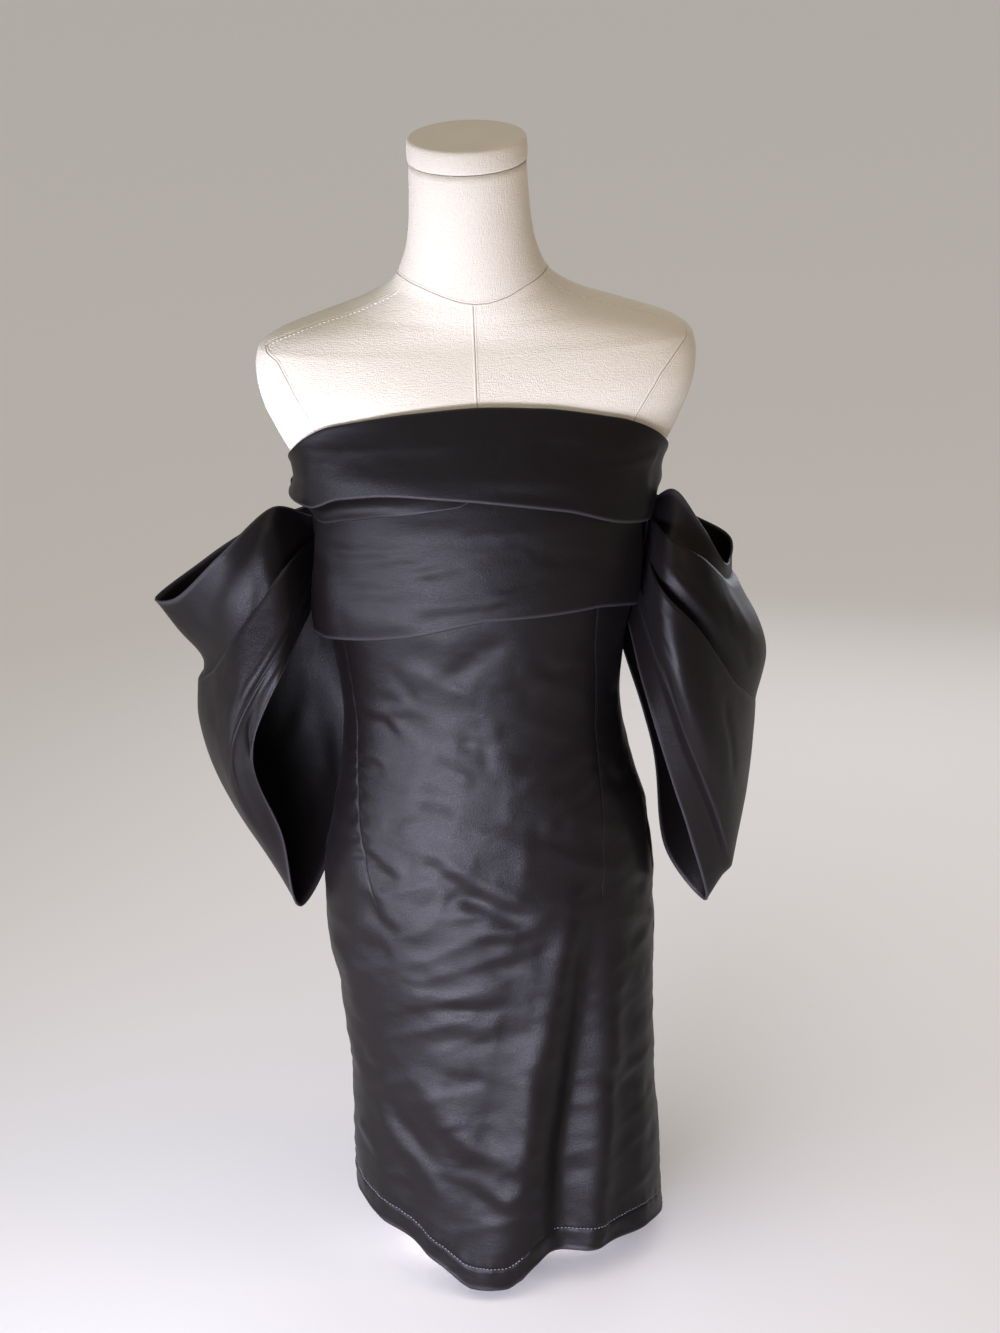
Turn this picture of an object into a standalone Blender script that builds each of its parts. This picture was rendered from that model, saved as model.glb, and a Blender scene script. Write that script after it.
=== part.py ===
"""Strapless mini dress with folded bust bands and draped sleeves, worn by a limbless dress form.

Metres, +Z up. The origin is the middle of the form's flat foot, and the dress's front faces -Y.
Angles run round the body in degrees: 0 at the front middle, 90 at the +X side, -90 at the -X side
and 180 at the back middle, where the dress closes.
"""

import math

import bpy
import numpy as np

# Walls and the gaps between them
PANEL_WALL = 0.0016
BAND_WALL = 0.0020
SLEEVE_WALL = 0.0018
SEAT_GAP = 0.0016
LAYER_GAP = 0.0008
SEAM_GAP = 0.0003

# Where the panels meet, in degrees round the body
LEFT_SEAM = -90.0
RIGHT_SEAM = 84.0
BACK_SEAM = 180.0
LOWER_BAND_ENDS = (-70.0, 66.0)

# How far each layer is cut into faces
FORM_COLUMNS = 48
FRONT_COLUMNS = (7, 18, 7)
BACK_COLUMNS = 12
PANEL_ROWS = (0, 0.035, 0.09, 0.16, 0.23, 0.30, 0.37, 0.44, 0.51, 0.58, 0.65, 0.71,
              0.77, 0.82, 0.86, 0.895, 0.925, 0.95, 0.975, 1)
UPPER_BAND_ROWS = (0, 0.2, 0.5, 0.78, 1)
LOWER_BAND_ROWS = (0, 0.12, 0.35, 0.6, 0.82, 1)
SLEEVE_COLUMNS = 26
CURVE_STEPS = 24
NORMAL_PASSES = 3
SEAM_RADIUS = 0.14

# The darts' stitched grooves
DART_HALF_ANGLE = 1.6
DART_DEPTH = 0.0014
DART_FADE = 0.03

# The form, section by section: height, half width, reach to the front and to the back,
# the section's middle in Y, how squarely it is cut, and its tilt up towards the back in degrees
FORM_SECTIONS = (
    # z, half_width, front, back, middle, squareness, tilt
    (0.000, 0.098, 0.052, 0.080, 0.000, 2.2, 0),
    (0.006, 0.102, 0.056, 0.084, 0.000, 2.2, 0),
    (0.080, 0.115, 0.072, 0.096, 0.000, 2.2, 0),
    (0.180, 0.128, 0.088, 0.106, 0.000, 2.2, 0),
    (0.270, 0.1345, 0.097, 0.114, 0.000, 2.2, 0),
    (0.340, 0.1345, 0.099, 0.114, 0.000, 2.2, 0),
    (0.420, 0.125, 0.096, 0.104, 0.000, 2.2, 0),
    (0.480, 0.114, 0.090, 0.092, 0.000, 2.2, 0),
    (0.530, 0.110, 0.087, 0.084, 0.000, 2.2, 0),
    (0.580, 0.115, 0.091, 0.084, 0.000, 2.2, 0),
    (0.630, 0.127, 0.101, 0.089, 0.000, 2.2, 0),
    (0.670, 0.138, 0.110, 0.094, 0.000, 2.2, 0),
    (0.700, 0.143, 0.114, 0.097, 0.000, 2.2, 0),
    (0.725, 0.146, 0.1145, 0.099, 0.000, 2.2, 0),
    (0.745, 0.1480, 0.1125, 0.101, 0.000, 2.2, 0),
    (0.760, 0.1525, 0.1100, 0.102, 0.000, 2.2, 0),
    (0.775, 0.1615, 0.1070, 0.103, 0.000, 2.2, 0),
    (0.792, 0.1713, 0.1025, 0.104, 0.000, 2.2, 0),
    (0.810, 0.1803, 0.0975, 0.104, 0.000, 2.2, 0),
    (0.828, 0.1880, 0.0910, 0.101, 0.000, 2.3, 0),
    (0.846, 0.1920, 0.0835, 0.096, 0.000, 2.4, 1),
    (0.862, 0.1930, 0.0755, 0.089, 0.001, 2.4, 2),
    (0.875, 0.1905, 0.0690, 0.081, 0.002, 2.4, 4),
    (0.885, 0.1795, 0.0640, 0.074, 0.002, 2.3, 6),
    (0.892, 0.1635, 0.0610, 0.069, 0.001, 2.2, 7),
    (0.900, 0.1380, 0.0590, 0.064, 0.000, 2.1, 9),
    (0.910, 0.1045, 0.0575, 0.058, -0.002, 2.0, 12),
    (0.920, 0.0825, 0.0570, 0.054, -0.003, 2.0, 14),
    (0.931, 0.0685, 0.0565, 0.049, -0.004, 2.0, 16),
    (0.945, 0.0610, 0.0570, 0.045, -0.006, 2.0, 16),
    (0.965, 0.0550, 0.0595, 0.041, -0.009, 2.0, 14),
    (0.990, 0.0520, 0.0630, 0.038, -0.013, 2.0, 12),
    (1.031, 0.0505, 0.0680, 0.033, -0.018, 2.0, 11),
)
CLOSE_HEIGHTS = (0.63, 0.85)

# The neck cap's turned edge: height above the neck's top and how far it stands out from the neck
CAP_PROFILE = (
    # height, out
    (0.0000, -0.0020),
    (0.0015, 0.0005),
    (0.0170, 0.0005),
    (0.0190, -0.0008),
    (0.0200, -0.0035),
)

# The dress's inner face, section by section, as far as the bands: height and the reach each way
DRESS_SECTIONS = (
    # z, left, right, front, back
    (0.000, 0.1480, 0.1440, 0.1285, 0.1180),
    (0.090, 0.1475, 0.1430, 0.1250, 0.1190),
    (0.176, 0.1460, 0.1395, 0.1215, 0.1210),
    (0.270, 0.1510, 0.1400, 0.1180, 0.1240),
    (0.330, 0.1600, 0.1430, 0.1160, 0.1250),
    (0.377, 0.1610, 0.1430, 0.1145, 0.1230),
    (0.442, 0.1490, 0.1370, 0.1105, 0.1140),
    (0.500, 0.1370, 0.1225, 0.1050, 0.1020),
    (0.545, 0.1325, 0.1160, 0.1020, 0.0950),
    (0.600, 0.1380, 0.1215, 0.1070, 0.0940),
    (0.650, 0.1460, 0.1345, 0.1135, 0.0960),
    (0.700, 0.1480, 0.1450, 0.1160, 0.0990),
    (0.750, 0.1510, 0.1500, 0.1120, 0.1010),
    (0.840, 0.1540, 0.1540, 0.0800, 0.0900),
)
DRESS_SQUARENESS = 2.15

# The heights of the dress's edges round the body
HEM = (
    # angle, z
    (-180, 0.055),
    (-120, 0.068),
    (-83, 0.071),
    (-61, 0.061),
    (-47, 0.050),
    (-31, 0.031),
    (-17, 0.0125),
    (-4, 0.0125),
    (2, 0.019),
    (8, 0.030),
    (17, 0.036),
    (40, 0.035),
    (60, 0.037),
    (82, 0.028),
    (120, 0.036),
    (180, 0.055),
)
NECKLINE = (
    # angle, z
    (-180, 0.772),
    (-120, 0.768),
    (-90, 0.771),
    (-76, 0.788),
    (-58, 0.815),
    (-30, 0.826),
    (0, 0.829),
    (30, 0.826),
    (56, 0.813),
    (76, 0.784),
    (90, 0.761),
    (120, 0.763),
    (180, 0.772),
)

# The skirt's long folds: a ridge stands out and a trough lies in. Each fades out at its top
SKIRT_FOLDS = (
    # hem_angle, top_angle, top_z, half_angle, height
    (19, 50, 0.47, 17, -0.0180),
    (44, 66, 0.42, 15, -0.0070),
    (-11, 34, 0.46, 17, 0.0065),
    (-47, -38, 0.30, 14, -0.0065),
    (112, 104, 0.34, 15, -0.0060),
    (138, 130, 0.44, 17, 0.0070),
    (163, 168, 0.40, 14, -0.0080),
    (-168, -170, 0.36, 13, 0.0060),
    (-146, -150, 0.42, 16, -0.0080),
    (-120, -124, 0.30, 14, 0.0050),
)

# The two front darts, as lines of angle against height
LEFT_DART = (
    # z, angle
    (0.36, -50),
    (0.42, -57),
    (0.50, -66),
    (0.56, -68),
    (0.64, -66),
    (0.84, -60),
)
RIGHT_DART = (
    # z, angle
    (0.36, 46),
    (0.50, 52),
    (0.56, 54),
    (0.64, 49),
    (0.84, 46),
)
DART_ENDS = (0.375, 0.72)

# The upper band: its lower fold, how far its under layer shows below, and its flare off the panel
UPPER_BAND = (
    # angle, fold_z, under_drop, flare
    (-180, 0.716, 0.003, 0.003),
    (-125, 0.735, 0.003, 0.008),
    (-90, 0.7460, 0.003, 0.0165),
    (-78, 0.7450, 0.003, 0.0155),
    (-68, 0.7440, 0.012, 0.0125),
    (-54, 0.7560, 0.019, 0.0080),
    (-36, 0.7610, 0.017, 0.0050),
    (-14, 0.7580, 0.008, 0.0040),
    (0, 0.7550, 0.003, 0.0040),
    (32, 0.7430, 0.003, 0.0045),
    (56, 0.7240, 0.003, 0.0060),
    (68, 0.7200, 0.003, 0.0075),
    (78, 0.7450, 0.003, 0.0065),
    (90, 0.7480, 0.003, 0.0060),
    (125, 0.7350, 0.003, 0.0050),
    (180, 0.7160, 0.003, 0.0030),
)
UPPER_BAND_RISE = 0.0012
FOLD_TUCK = 0.0032
FOLD_ROLL = 0.0022

# The lower band: its lower edge and how far that edge stands off the panel
LOWER_BAND = (
    # angle, edge_z, flare
    (-74, 0.633, 0.0175),
    (-66, 0.627, 0.0140),
    (-56, 0.629, 0.0080),
    (-34, 0.636, 0.0030),
    (4, 0.651, 0.0016),
    (45, 0.652, 0.0030),
    (58, 0.648, 0.0060),
    (68, 0.644, 0.0090),
)
LOWER_BAND_TOP = 0.770

# How the upper band comes down to the panel past the lower band's ends, in degrees, and above its top
BAND_END_MARGIN = 3.0
BAND_END_FADE = 5.0
BAND_TOP_MARGIN = 0.004
BAND_TOP_FADE = 0.015

# Each sleeve is one wide band, pleated into a seam at the front of the side and another at its back.
# A row is a line that runs the band's length: its front seam (angle, z), four places on the front
# half, two on the back half (all as distance out from the middle, y, z) and its back seam.
LEFT_SLEEVE = (
    # name, rows to next, front seam, near, far, low, turn, back far, back near, back seam
    ("upper hem", 1, (-82, 0.728), (0.183, -0.044, 0.7410), (0.230, -0.058, 0.7040),
     (0.277, -0.026, 0.6580), (0.299, 0.003, 0.6510), (0.266, 0.036, 0.6700),
     (0.214, 0.050, 0.7000), (-112, 0.729)),
    ("flap", 1, (-83, 0.724), (0.185, -0.054, 0.7340), (0.226, -0.064, 0.6830),
     (0.263, -0.028, 0.6310), (0.280, 0.003, 0.6220), (0.257, 0.042, 0.6420),
     (0.206, 0.058, 0.6860), (-113, 0.725)),
    ("flap ridge", 1, (-84, 0.719), (0.184, -0.062, 0.7260), (0.219, -0.070, 0.6660),
     (0.246, -0.034, 0.6110), (0.2590, 0.001, 0.5960), (0.241, 0.046, 0.6180),
     (0.198, 0.064, 0.6710), (-114, 0.720)),
    ("under pleat", 1, (-85, 0.711), (0.177, -0.071, 0.6960), (0.211, -0.072, 0.6500),
     (0.243, -0.038, 0.6000), (0.2605, -0.001, 0.5830), (0.242, 0.050, 0.6020),
     (0.193, 0.069, 0.6600), (-115, 0.712)),
    ("pleat edge", 2, (-85, 0.706), (0.176, -0.080, 0.6890), (0.213, -0.081, 0.6430),
     (0.248, -0.041, 0.5920), (0.2650, -0.001, 0.5750), (0.246, 0.055, 0.5930),
     (0.193, 0.075, 0.6520), (-115, 0.706)),
    ("upper lobe", 1, (-86, 0.692), (0.175, -0.090, 0.6580), (0.220, -0.092, 0.5960),
     (0.253, -0.048, 0.5540), (0.2665, 0.000, 0.5430), (0.243, 0.058, 0.5580),
     (0.188, 0.080, 0.6280), (-116, 0.690)),
    ("lower lobe", 2, (-86, 0.677), (0.176, -0.095, 0.6390), (0.226, -0.091, 0.5660),
     (0.245, -0.054, 0.5100), (0.2565, 0.000, 0.4980), (0.230, 0.060, 0.5110),
     (0.178, 0.084, 0.5900), (-117, 0.660)),
    ("lobe foot", 2, (-86, 0.668), (0.1765, -0.097, 0.6280), (0.2265, -0.0885, 0.5410),
     (0.226, -0.062, 0.4640), (0.2240, 0.000, 0.4300), (0.202, 0.056, 0.4480),
     (0.160, 0.086, 0.5480), (-118, 0.630)),
    ("lower hem", 0, (-86, 0.658), (0.177, -0.097, 0.6130), (0.2120, -0.0865, 0.5300),
     (0.194, -0.058, 0.4420), (0.1860, 0.000, 0.3480), (0.157, 0.046, 0.3880),
     (0.136, 0.084, 0.5000), (-119, 0.600)),
)
RIGHT_SLEEVE = (
    # name, rows to next, front seam, near, far, low, turn, back far, back near, back seam
    ("upper hem", 1, (83, 0.728), (0.169, -0.040, 0.7410), (0.192, -0.049, 0.7090),
     (0.212, -0.030, 0.6710), (0.2205, 0.004, 0.6660), (0.2245, 0.032, 0.6790),
     (0.192, 0.046, 0.6980), (106, 0.729)),
    ("under first pleat", 1, (82, 0.718), (0.161, -0.068, 0.7090), (0.188, -0.062, 0.6900),
     (0.212, -0.031, 0.6600), (0.2225, 0.003, 0.6530), (0.222, 0.038, 0.6560),
     (0.187, 0.054, 0.6900), (107, 0.722)),
    ("first pleat edge", 2, (81, 0.714), (0.161, -0.077, 0.7040), (0.190, -0.071, 0.6850),
     (0.217, -0.034, 0.6520), (0.2275, 0.002, 0.6430), (0.226, 0.044, 0.6460),
     (0.186, 0.060, 0.6830), (107, 0.715)),
    ("outer crease", 2, (80, 0.700), (0.158, -0.090, 0.6820), (0.196, -0.088, 0.6440),
     (0.237, -0.044, 0.6010), (0.2520, 0.001, 0.5880), (0.239, 0.052, 0.5950),
     (0.184, 0.066, 0.6560), (107, 0.697)),
    ("under second pleat", 1, (80, 0.688), (0.152, -0.091, 0.6690), (0.180, -0.092, 0.6370),
     (0.218, -0.060, 0.5750), (0.2430, 0.000, 0.5360), (0.232, 0.057, 0.5420),
     (0.178, 0.069, 0.6280), (106, 0.682)),
    ("second pleat edge", 2, (80, 0.683), (0.153, -0.101, 0.6630), (0.182, -0.102, 0.6300),
     (0.220, -0.064, 0.5670), (0.2420, 0.000, 0.5280), (0.231, 0.058, 0.5320),
     (0.177, 0.070, 0.6200), (106, 0.675)),
    ("lobe", 2, (80, 0.664), (0.151, -0.104, 0.6340), (0.180, -0.108, 0.5700),
     (0.214, -0.070, 0.5000), (0.2350, 0.000, 0.4650), (0.217, 0.052, 0.4720),
     (0.169, 0.062, 0.5700), (105, 0.655)),
    ("outer hem", 1, (80, 0.643), (0.149, -0.096, 0.5960), (0.172, -0.098, 0.5250),
     (0.1990, -0.062, 0.4480), (0.2170, 0.000, 0.3690), (0.195, 0.040, 0.3960),
     (0.160, 0.050, 0.5150), (104, 0.625)),
    ("tuck under the hem", 1, (80, 0.637), (0.146, -0.085, 0.5900), (0.167, -0.086, 0.5180),
     (0.1930, -0.051, 0.4420), (0.2105, 0.000, 0.3620), (0.190, 0.033, 0.3880),
     (0.157, 0.045, 0.5060), (103, 0.617)),
    ("inner hem", 0, (80, 0.618), (0.142, -0.072, 0.5480), (0.156, -0.070, 0.4950),
     (0.1760, -0.046, 0.4220), (0.1930, 0.000, 0.3370), (0.1600, 0.022, 0.3800),
     (0.1500, 0.034, 0.4800), (101, 0.592)),
)

# Colour, roughness and metallic value of each material
SATIN = ((0.018, 0.016, 0.020), 0.38, 0.0)
LINEN = ((0.74, 0.69, 0.61), 0.85, 0.0)


def clear_scene():
    for item in list(bpy.data.objects):
        bpy.data.objects.remove(item, do_unlink=True)


def column(table, index):
    return [row[index] for row in table]


def smooth_value(places, values, place):
    """A smooth curve through the values that never swings past them."""
    if place <= places[0]:
        return values[0]
    if place >= places[-1]:
        return values[-1]
    slopes = []
    for i in range(len(places)):
        if i in (0, len(places) - 1):
            slopes.append(0.0)
            continue
        before = (values[i] - values[i - 1]) / (places[i] - places[i - 1])
        after = (values[i + 1] - values[i]) / (places[i + 1] - places[i])
        same_way = before * after > 0
        slopes.append(2 * before * after / (before + after) if same_way else 0.0)
    i = max(k for k in range(len(places) - 1) if places[k] <= place)
    span = places[i + 1] - places[i]
    t = (place - places[i]) / span
    start = (1 + 2 * t) * (1 - t) ** 2 * values[i] + t * (1 - t) ** 2 * span * slopes[i]
    end = t * t * (3 - 2 * t) * values[i + 1] + t * t * (t - 1) * span * slopes[i + 1]
    return start + end


def ease(share):
    share = min(1.0, max(0.0, share))
    return share * share * (3 - 2 * share)


def reach(angle, left, right, front, back, squareness):
    """Distance from a section's middle to its outline."""
    across = math.sin(math.radians(angle))
    ahead = math.cos(math.radians(angle))
    width = right if across > 0 else left
    depth = front if ahead > 0 else back
    total = abs(across / width) ** squareness + abs(ahead / depth) ** squareness
    return total ** (-1 / squareness)


def form_reach(angle, z):
    values = [smooth_value(column(FORM_SECTIONS, 0), column(FORM_SECTIONS, k), z) for k in range(1, 6)]
    half_width, front, back, middle, squareness = values
    return reach(angle, half_width, half_width, front + middle, back - middle, squareness)


def bump(angle, middle, half_angle):
    """1 at the middle, falling softly to 0 at half_angle either side."""
    away = (angle - middle + 180) % 360 - 180
    if abs(away) >= half_angle:
        return 0.0
    return math.cos(math.pi / 2 * away / half_angle) ** 2


def skirt_fold(angle, z):
    total = 0.0
    for hem_angle, top_angle, top_z, half_angle, height in SKIRT_FOLDS:
        up = min(1.0, max(0.0, z / top_z))
        middle = hem_angle + (top_angle - hem_angle) * up
        total += height * (1 - ease(up)) * bump(angle, middle, half_angle)
    return total


def dart_groove(angle, z):
    low, high = DART_ENDS
    if not low < z < high:
        return 0.0
    fade = ease((z - low) / DART_FADE)
    for dart in (LEFT_DART, RIGHT_DART):
        line = smooth_value(column(dart, 0), column(dart, 1), z)
        if abs(angle - line) < DART_HALF_ANGLE:
            return -DART_DEPTH * fade * (1 - abs(angle - line) / DART_HALF_ANGLE)
    return 0.0


def cloth_reach(angle, z):
    """The inner face of the dress's panels: its own section, kept off the form."""
    sizes = [smooth_value(column(DRESS_SECTIONS, 0), column(DRESS_SECTIONS, k), z) for k in range(1, 5)]
    own = reach(angle, *sizes, DRESS_SQUARENESS) + skirt_fold(angle, z) + dart_groove(angle, z)
    return max(own, form_reach(angle, z) + SEAT_GAP)


def panel_outside(angle, z):
    return cloth_reach(angle, z) + PANEL_WALL


def edge_height(table, angle):
    return smooth_value(column(table, 0), column(table, 1), angle)


def lower_band_inside(angle, z):
    low = smooth_value(column(LOWER_BAND, 0), column(LOWER_BAND, 1), angle)
    flare = smooth_value(column(LOWER_BAND, 0), column(LOWER_BAND, 2), angle)
    down = ease((LOWER_BAND_TOP - z) / (LOWER_BAND_TOP - low))
    return panel_outside(angle, z) + LAYER_GAP + flare * down


def lower_band_outside(angle, z):
    return lower_band_inside(angle, z) + BAND_WALL


def under_band_outside(angle, z):
    """What the upper band lies on: the lower band as far as that reaches, and the panel elsewhere."""
    first, last = LOWER_BAND_ENDS
    past_end = max(first - angle, angle - last, BAND_END_MARGIN) - BAND_END_MARGIN
    covered = 1 - ease(past_end / BAND_END_FADE)
    panel = panel_outside(angle, z)
    level = min(z, LOWER_BAND_TOP)
    stands_out = lower_band_outside(angle, level) - panel_outside(angle, level)
    above = ease((z - LOWER_BAND_TOP - BAND_TOP_MARGIN) / BAND_TOP_FADE)
    return panel + stands_out * covered * (1 - above)


def upper_band_inside(angle, z, top, fold):
    flare = smooth_value(column(UPPER_BAND, 0), column(UPPER_BAND, 3), angle)
    down = ease((top - z) / (top - fold)) if top > fold else 1.0
    return max(under_band_outside(angle, z) + LAYER_GAP, panel_outside(angle, z) + LAYER_GAP + flare * down)


def point_at(angle, radius, z):
    turn = math.radians(angle)
    return np.array((radius * math.sin(turn), -radius * math.cos(turn), z))


def spread(start, end, count):
    """Values from start to end, without the last."""
    return [start + (end - start) * i / count for i in range(count)]


def seam_share():
    """Half of the gap at a seam, in degrees."""
    return math.degrees(SEAM_GAP / 2 / SEAM_RADIUS)


def front_angles(z, left=LEFT_SEAM, right=RIGHT_SEAM):
    """The front's columns at one height: three of them follow each dart."""
    left_dart = smooth_value(column(LEFT_DART, 0), column(LEFT_DART, 1), z)
    right_dart = smooth_value(column(RIGHT_DART, 0), column(RIGHT_DART, 1), z)
    start = left + seam_share()
    end = right - seam_share()
    half = DART_HALF_ANGLE
    before, between, after = FRONT_COLUMNS
    angles = spread(start, left_dart - half, before)
    angles += [left_dart - half, left_dart, left_dart + half]
    angles += spread(left_dart + half, right_dart - half, between)[1:]
    angles += [right_dart - half, right_dart, right_dart + half]
    angles += spread(right_dart + half, end, after)[1:]
    return angles + [end]


def back_angles(start, end):
    first = start + seam_share()
    last = end - seam_share()
    return spread(first, last, BACK_COLUMNS) + [last]


def grid_faces(rows, columns, start, flipped):
    faces = []
    for i in range(rows - 1):
        for j in range(columns - 1):
            a = start + i * columns + j
            halves = ((a, a + 1, a + columns + 1), (a, a + columns + 1, a + columns))
            faces += [half[::-1] if flipped else half for half in halves]
    return faces


def rim_faces(rows, columns):
    """Faces that join the outer grid's border to the inner grid's."""
    border = [(0, j) for j in range(columns)]
    border += [(i, columns - 1) for i in range(1, rows)]
    border += [(rows - 1, j) for j in range(columns - 2, -1, -1)]
    border += [(i, 0) for i in range(rows - 2, 0, -1)]
    ring = [i * columns + j for i, j in border]
    total = rows * columns
    faces = []
    for a, b in zip(ring, ring[1:] + ring[:1]):
        faces.append((b, a, a + total, b + total))
    return faces


def make_material(name, look):
    colour, roughness, metallic = look
    material = bpy.data.materials.new(name)
    material.use_nodes = True
    shader = material.node_tree.nodes["Principled BSDF"]
    shader.inputs["Base Color"].default_value = (*colour, 1.0)
    shader.inputs["Roughness"].default_value = roughness
    shader.inputs["Metallic"].default_value = metallic
    return material


def make_object(name, points, faces, look):
    mesh = bpy.data.meshes.new(name)
    mesh.from_pydata([tuple(point) for point in points], [], faces)
    mesh.validate()
    mesh.shade_smooth()
    made = bpy.data.objects.new(name, mesh)
    bpy.context.scene.collection.objects.link(made)
    mesh.materials.append(make_material(name + " finish", look))
    return made


def make_wall(name, outside, inside, look):
    """A closed wall between two grids of points, which run up its rows and to +angle along them."""
    outside = np.array(outside)
    inside = np.array(inside)
    rows, columns = outside.shape[:2]
    points = np.concatenate([outside.reshape(-1, 3), inside.reshape(-1, 3)])
    faces = grid_faces(rows, columns, 0, False)
    faces += grid_faces(rows, columns, rows * columns, True)
    faces += rim_faces(rows, columns)
    return make_object(name, points, faces, look)


def panel_height(angle, share):
    low = edge_height(HEM, angle)
    return low + (edge_height(NECKLINE, angle) - low) * share


def make_panel(name, angles_at):
    outside, inside = [], []
    for share in PANEL_ROWS:
        outer_row, inner_row = [], []
        for place, angle in enumerate(angles_at(panel_height(0, share))):
            for _ in range(3):
                angle = angles_at(panel_height(angle, share))[place]
            z = panel_height(angle, share)
            outer_row.append(point_at(angle, panel_outside(angle, z), z))
            inner_row.append(point_at(angle, cloth_reach(angle, z), z))
        outside.append(outer_row)
        inside.append(inner_row)
    return make_wall(name, outside, inside, SATIN)


def make_panels():
    make_panel("front_panel", front_angles)
    make_panel("back_panel_right", lambda z: back_angles(RIGHT_SEAM, BACK_SEAM))
    make_panel("back_panel_left", lambda z: back_angles(-BACK_SEAM, LEFT_SEAM))


def make_lower_band():
    """Folded cloth across the front, tucked under the upper band and flared at its ends."""
    outside, inside = [], []
    for share in LOWER_BAND_ROWS:
        outer_row, inner_row = [], []
        for angle in front_angles(0.70, *LOWER_BAND_ENDS):
            low = smooth_value(column(LOWER_BAND, 0), column(LOWER_BAND, 1), angle)
            z = low + (LOWER_BAND_TOP - low) * share
            inner_row.append(point_at(angle, lower_band_inside(angle, z), z))
            outer_row.append(point_at(angle, lower_band_outside(angle, z), z))
        outside.append(outer_row)
        inside.append(inner_row)
    return make_wall("lower_band", outside, inside, SATIN)


def make_upper_band():
    """Folded cloth round the top edge: its outer layer, then the under layer that shows below it."""
    angles = back_angles(-BACK_SEAM, LEFT_SEAM)
    angles += front_angles(0.78)[1:]
    angles += back_angles(RIGHT_SEAM, BACK_SEAM)[1:]
    outside, inside = [], []
    under_rows = 2
    for row in range(under_rows + len(UPPER_BAND_ROWS)):
        outer_row, inner_row = [], []
        for angle in angles:
            fold = smooth_value(column(UPPER_BAND, 0), column(UPPER_BAND, 1), angle)
            drop = smooth_value(column(UPPER_BAND, 0), column(UPPER_BAND, 2), angle)
            top = edge_height(NECKLINE, angle) + UPPER_BAND_RISE
            if row < under_rows:
                z = fold - FOLD_ROLL - (drop if row == 0 else 0)
                tucked = upper_band_inside(angle, fold, top, fold) - FOLD_TUCK
                inner = max(under_band_outside(angle, z) + LAYER_GAP, tucked)
            else:
                z = fold + (top - fold) * UPPER_BAND_ROWS[row - under_rows]
                inner = upper_band_inside(angle, z, top, fold)
            inner_row.append(point_at(angle, inner, z))
            outer_row.append(point_at(angle, inner + BAND_WALL, z))
        outside.append(outer_row)
        inside.append(inner_row)
    return make_wall("upper_band", outside, inside, SATIN)


def through(stations, count):
    """Points evenly spaced along a smooth curve through the stations."""
    stations = np.array(stations, float)
    padded = np.concatenate([
        [2 * stations[0] - stations[1]], stations, [2 * stations[-1] - stations[-2]]])
    fine = []
    for a, b, c, d in zip(padded, padded[1:], padded[2:], padded[3:]):
        ab = np.linalg.norm(b - a) ** 0.5
        bc = np.linalg.norm(c - b) ** 0.5
        cd = np.linalg.norm(d - c) ** 0.5
        start = (b - a) / ab - (c - a) / (ab + bc) + (c - b) / bc
        end = (c - b) / bc - (d - b) / (bc + cd) + (d - c) / cd
        for t in np.linspace(0, 1, CURVE_STEPS, endpoint=False):
            keep_b = 2 * t ** 3 - 3 * t ** 2 + 1
            keep_c = 3 * t ** 2 - 2 * t ** 3
            fine.append(
                keep_b * b + keep_c * c
                + (t ** 3 - 2 * t ** 2 + t) * bc * start + (t ** 3 - t ** 2) * bc * end)
    fine.append(stations[-1])
    fine = np.array(fine)
    steps = np.linalg.norm(np.diff(fine, axis=0), axis=1)
    along = np.concatenate([[0], np.cumsum(steps)]) / steps.sum()
    places = np.linspace(0, 1, count)
    return np.stack([np.interp(places, along, fine[:, k]) for k in range(3)], axis=1)


def sleeve_grid(table, side):
    """The middle of the sleeve's wall, a row of points for each line of the table and those between."""
    stand_off = SLEEVE_WALL / 2 + LAYER_GAP
    lines, counts = [], []
    for _, rows_to_next, front, *places, back in table:
        stations = [point_at(front[0], panel_outside(*front) + stand_off, front[1])]
        stations += [(side * out, y, z) for out, y, z in places]
        stations.append(point_at(back[0], panel_outside(*back) + stand_off, back[1]))
        lines.append(through(stations, SLEEVE_COLUMNS))
        counts.append(rows_to_next)
    rows = []
    for line, after, count in zip(lines, lines[1:], counts):
        rows += [line + (after - line) * i / count for i in range(count)]
    rows.append(lines[-1])
    return np.array(rows)


def grid_normals(grid):
    along = np.gradient(grid, axis=1)
    down = np.gradient(grid, axis=0)
    normals = np.cross(along, down)
    normals /= np.linalg.norm(normals, axis=2, keepdims=True)
    for _ in range(NORMAL_PASSES):
        padded = np.pad(normals, ((1, 1), (1, 1), (0, 0)), mode="edge")
        normals = normals + (padded[:-2, 1:-1] + padded[2:, 1:-1] + padded[1:-1, :-2] + padded[1:-1, 2:]) / 4
        normals /= np.linalg.norm(normals, axis=2, keepdims=True)
    return normals


def make_sleeve(name, table, side):
    """A wide band of cloth that loops from the front seam out and round to the back seam."""
    grid = sleeve_grid(table, side)
    normals = grid_normals(grid)
    outside = grid + normals * SLEEVE_WALL / 2
    inside = grid - normals * SLEEVE_WALL / 2
    return make_wall(name, outside, inside, SATIN)


def form_ring(z, half_width, front, back, middle, squareness, tilt, out=0.0, up=0.0):
    """One section of the form, tilted up towards the back about its middle."""
    ring = []
    for i in range(FORM_COLUMNS):
        angle = 360 * i / FORM_COLUMNS - 180
        radius = reach(angle, half_width, half_width, front + middle, back - middle, squareness) + out
        x, y, _ = point_at(angle, radius, 0)
        ring.append((x, y + middle, z + up + y * math.tan(math.radians(tilt))))
    return ring


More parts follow.
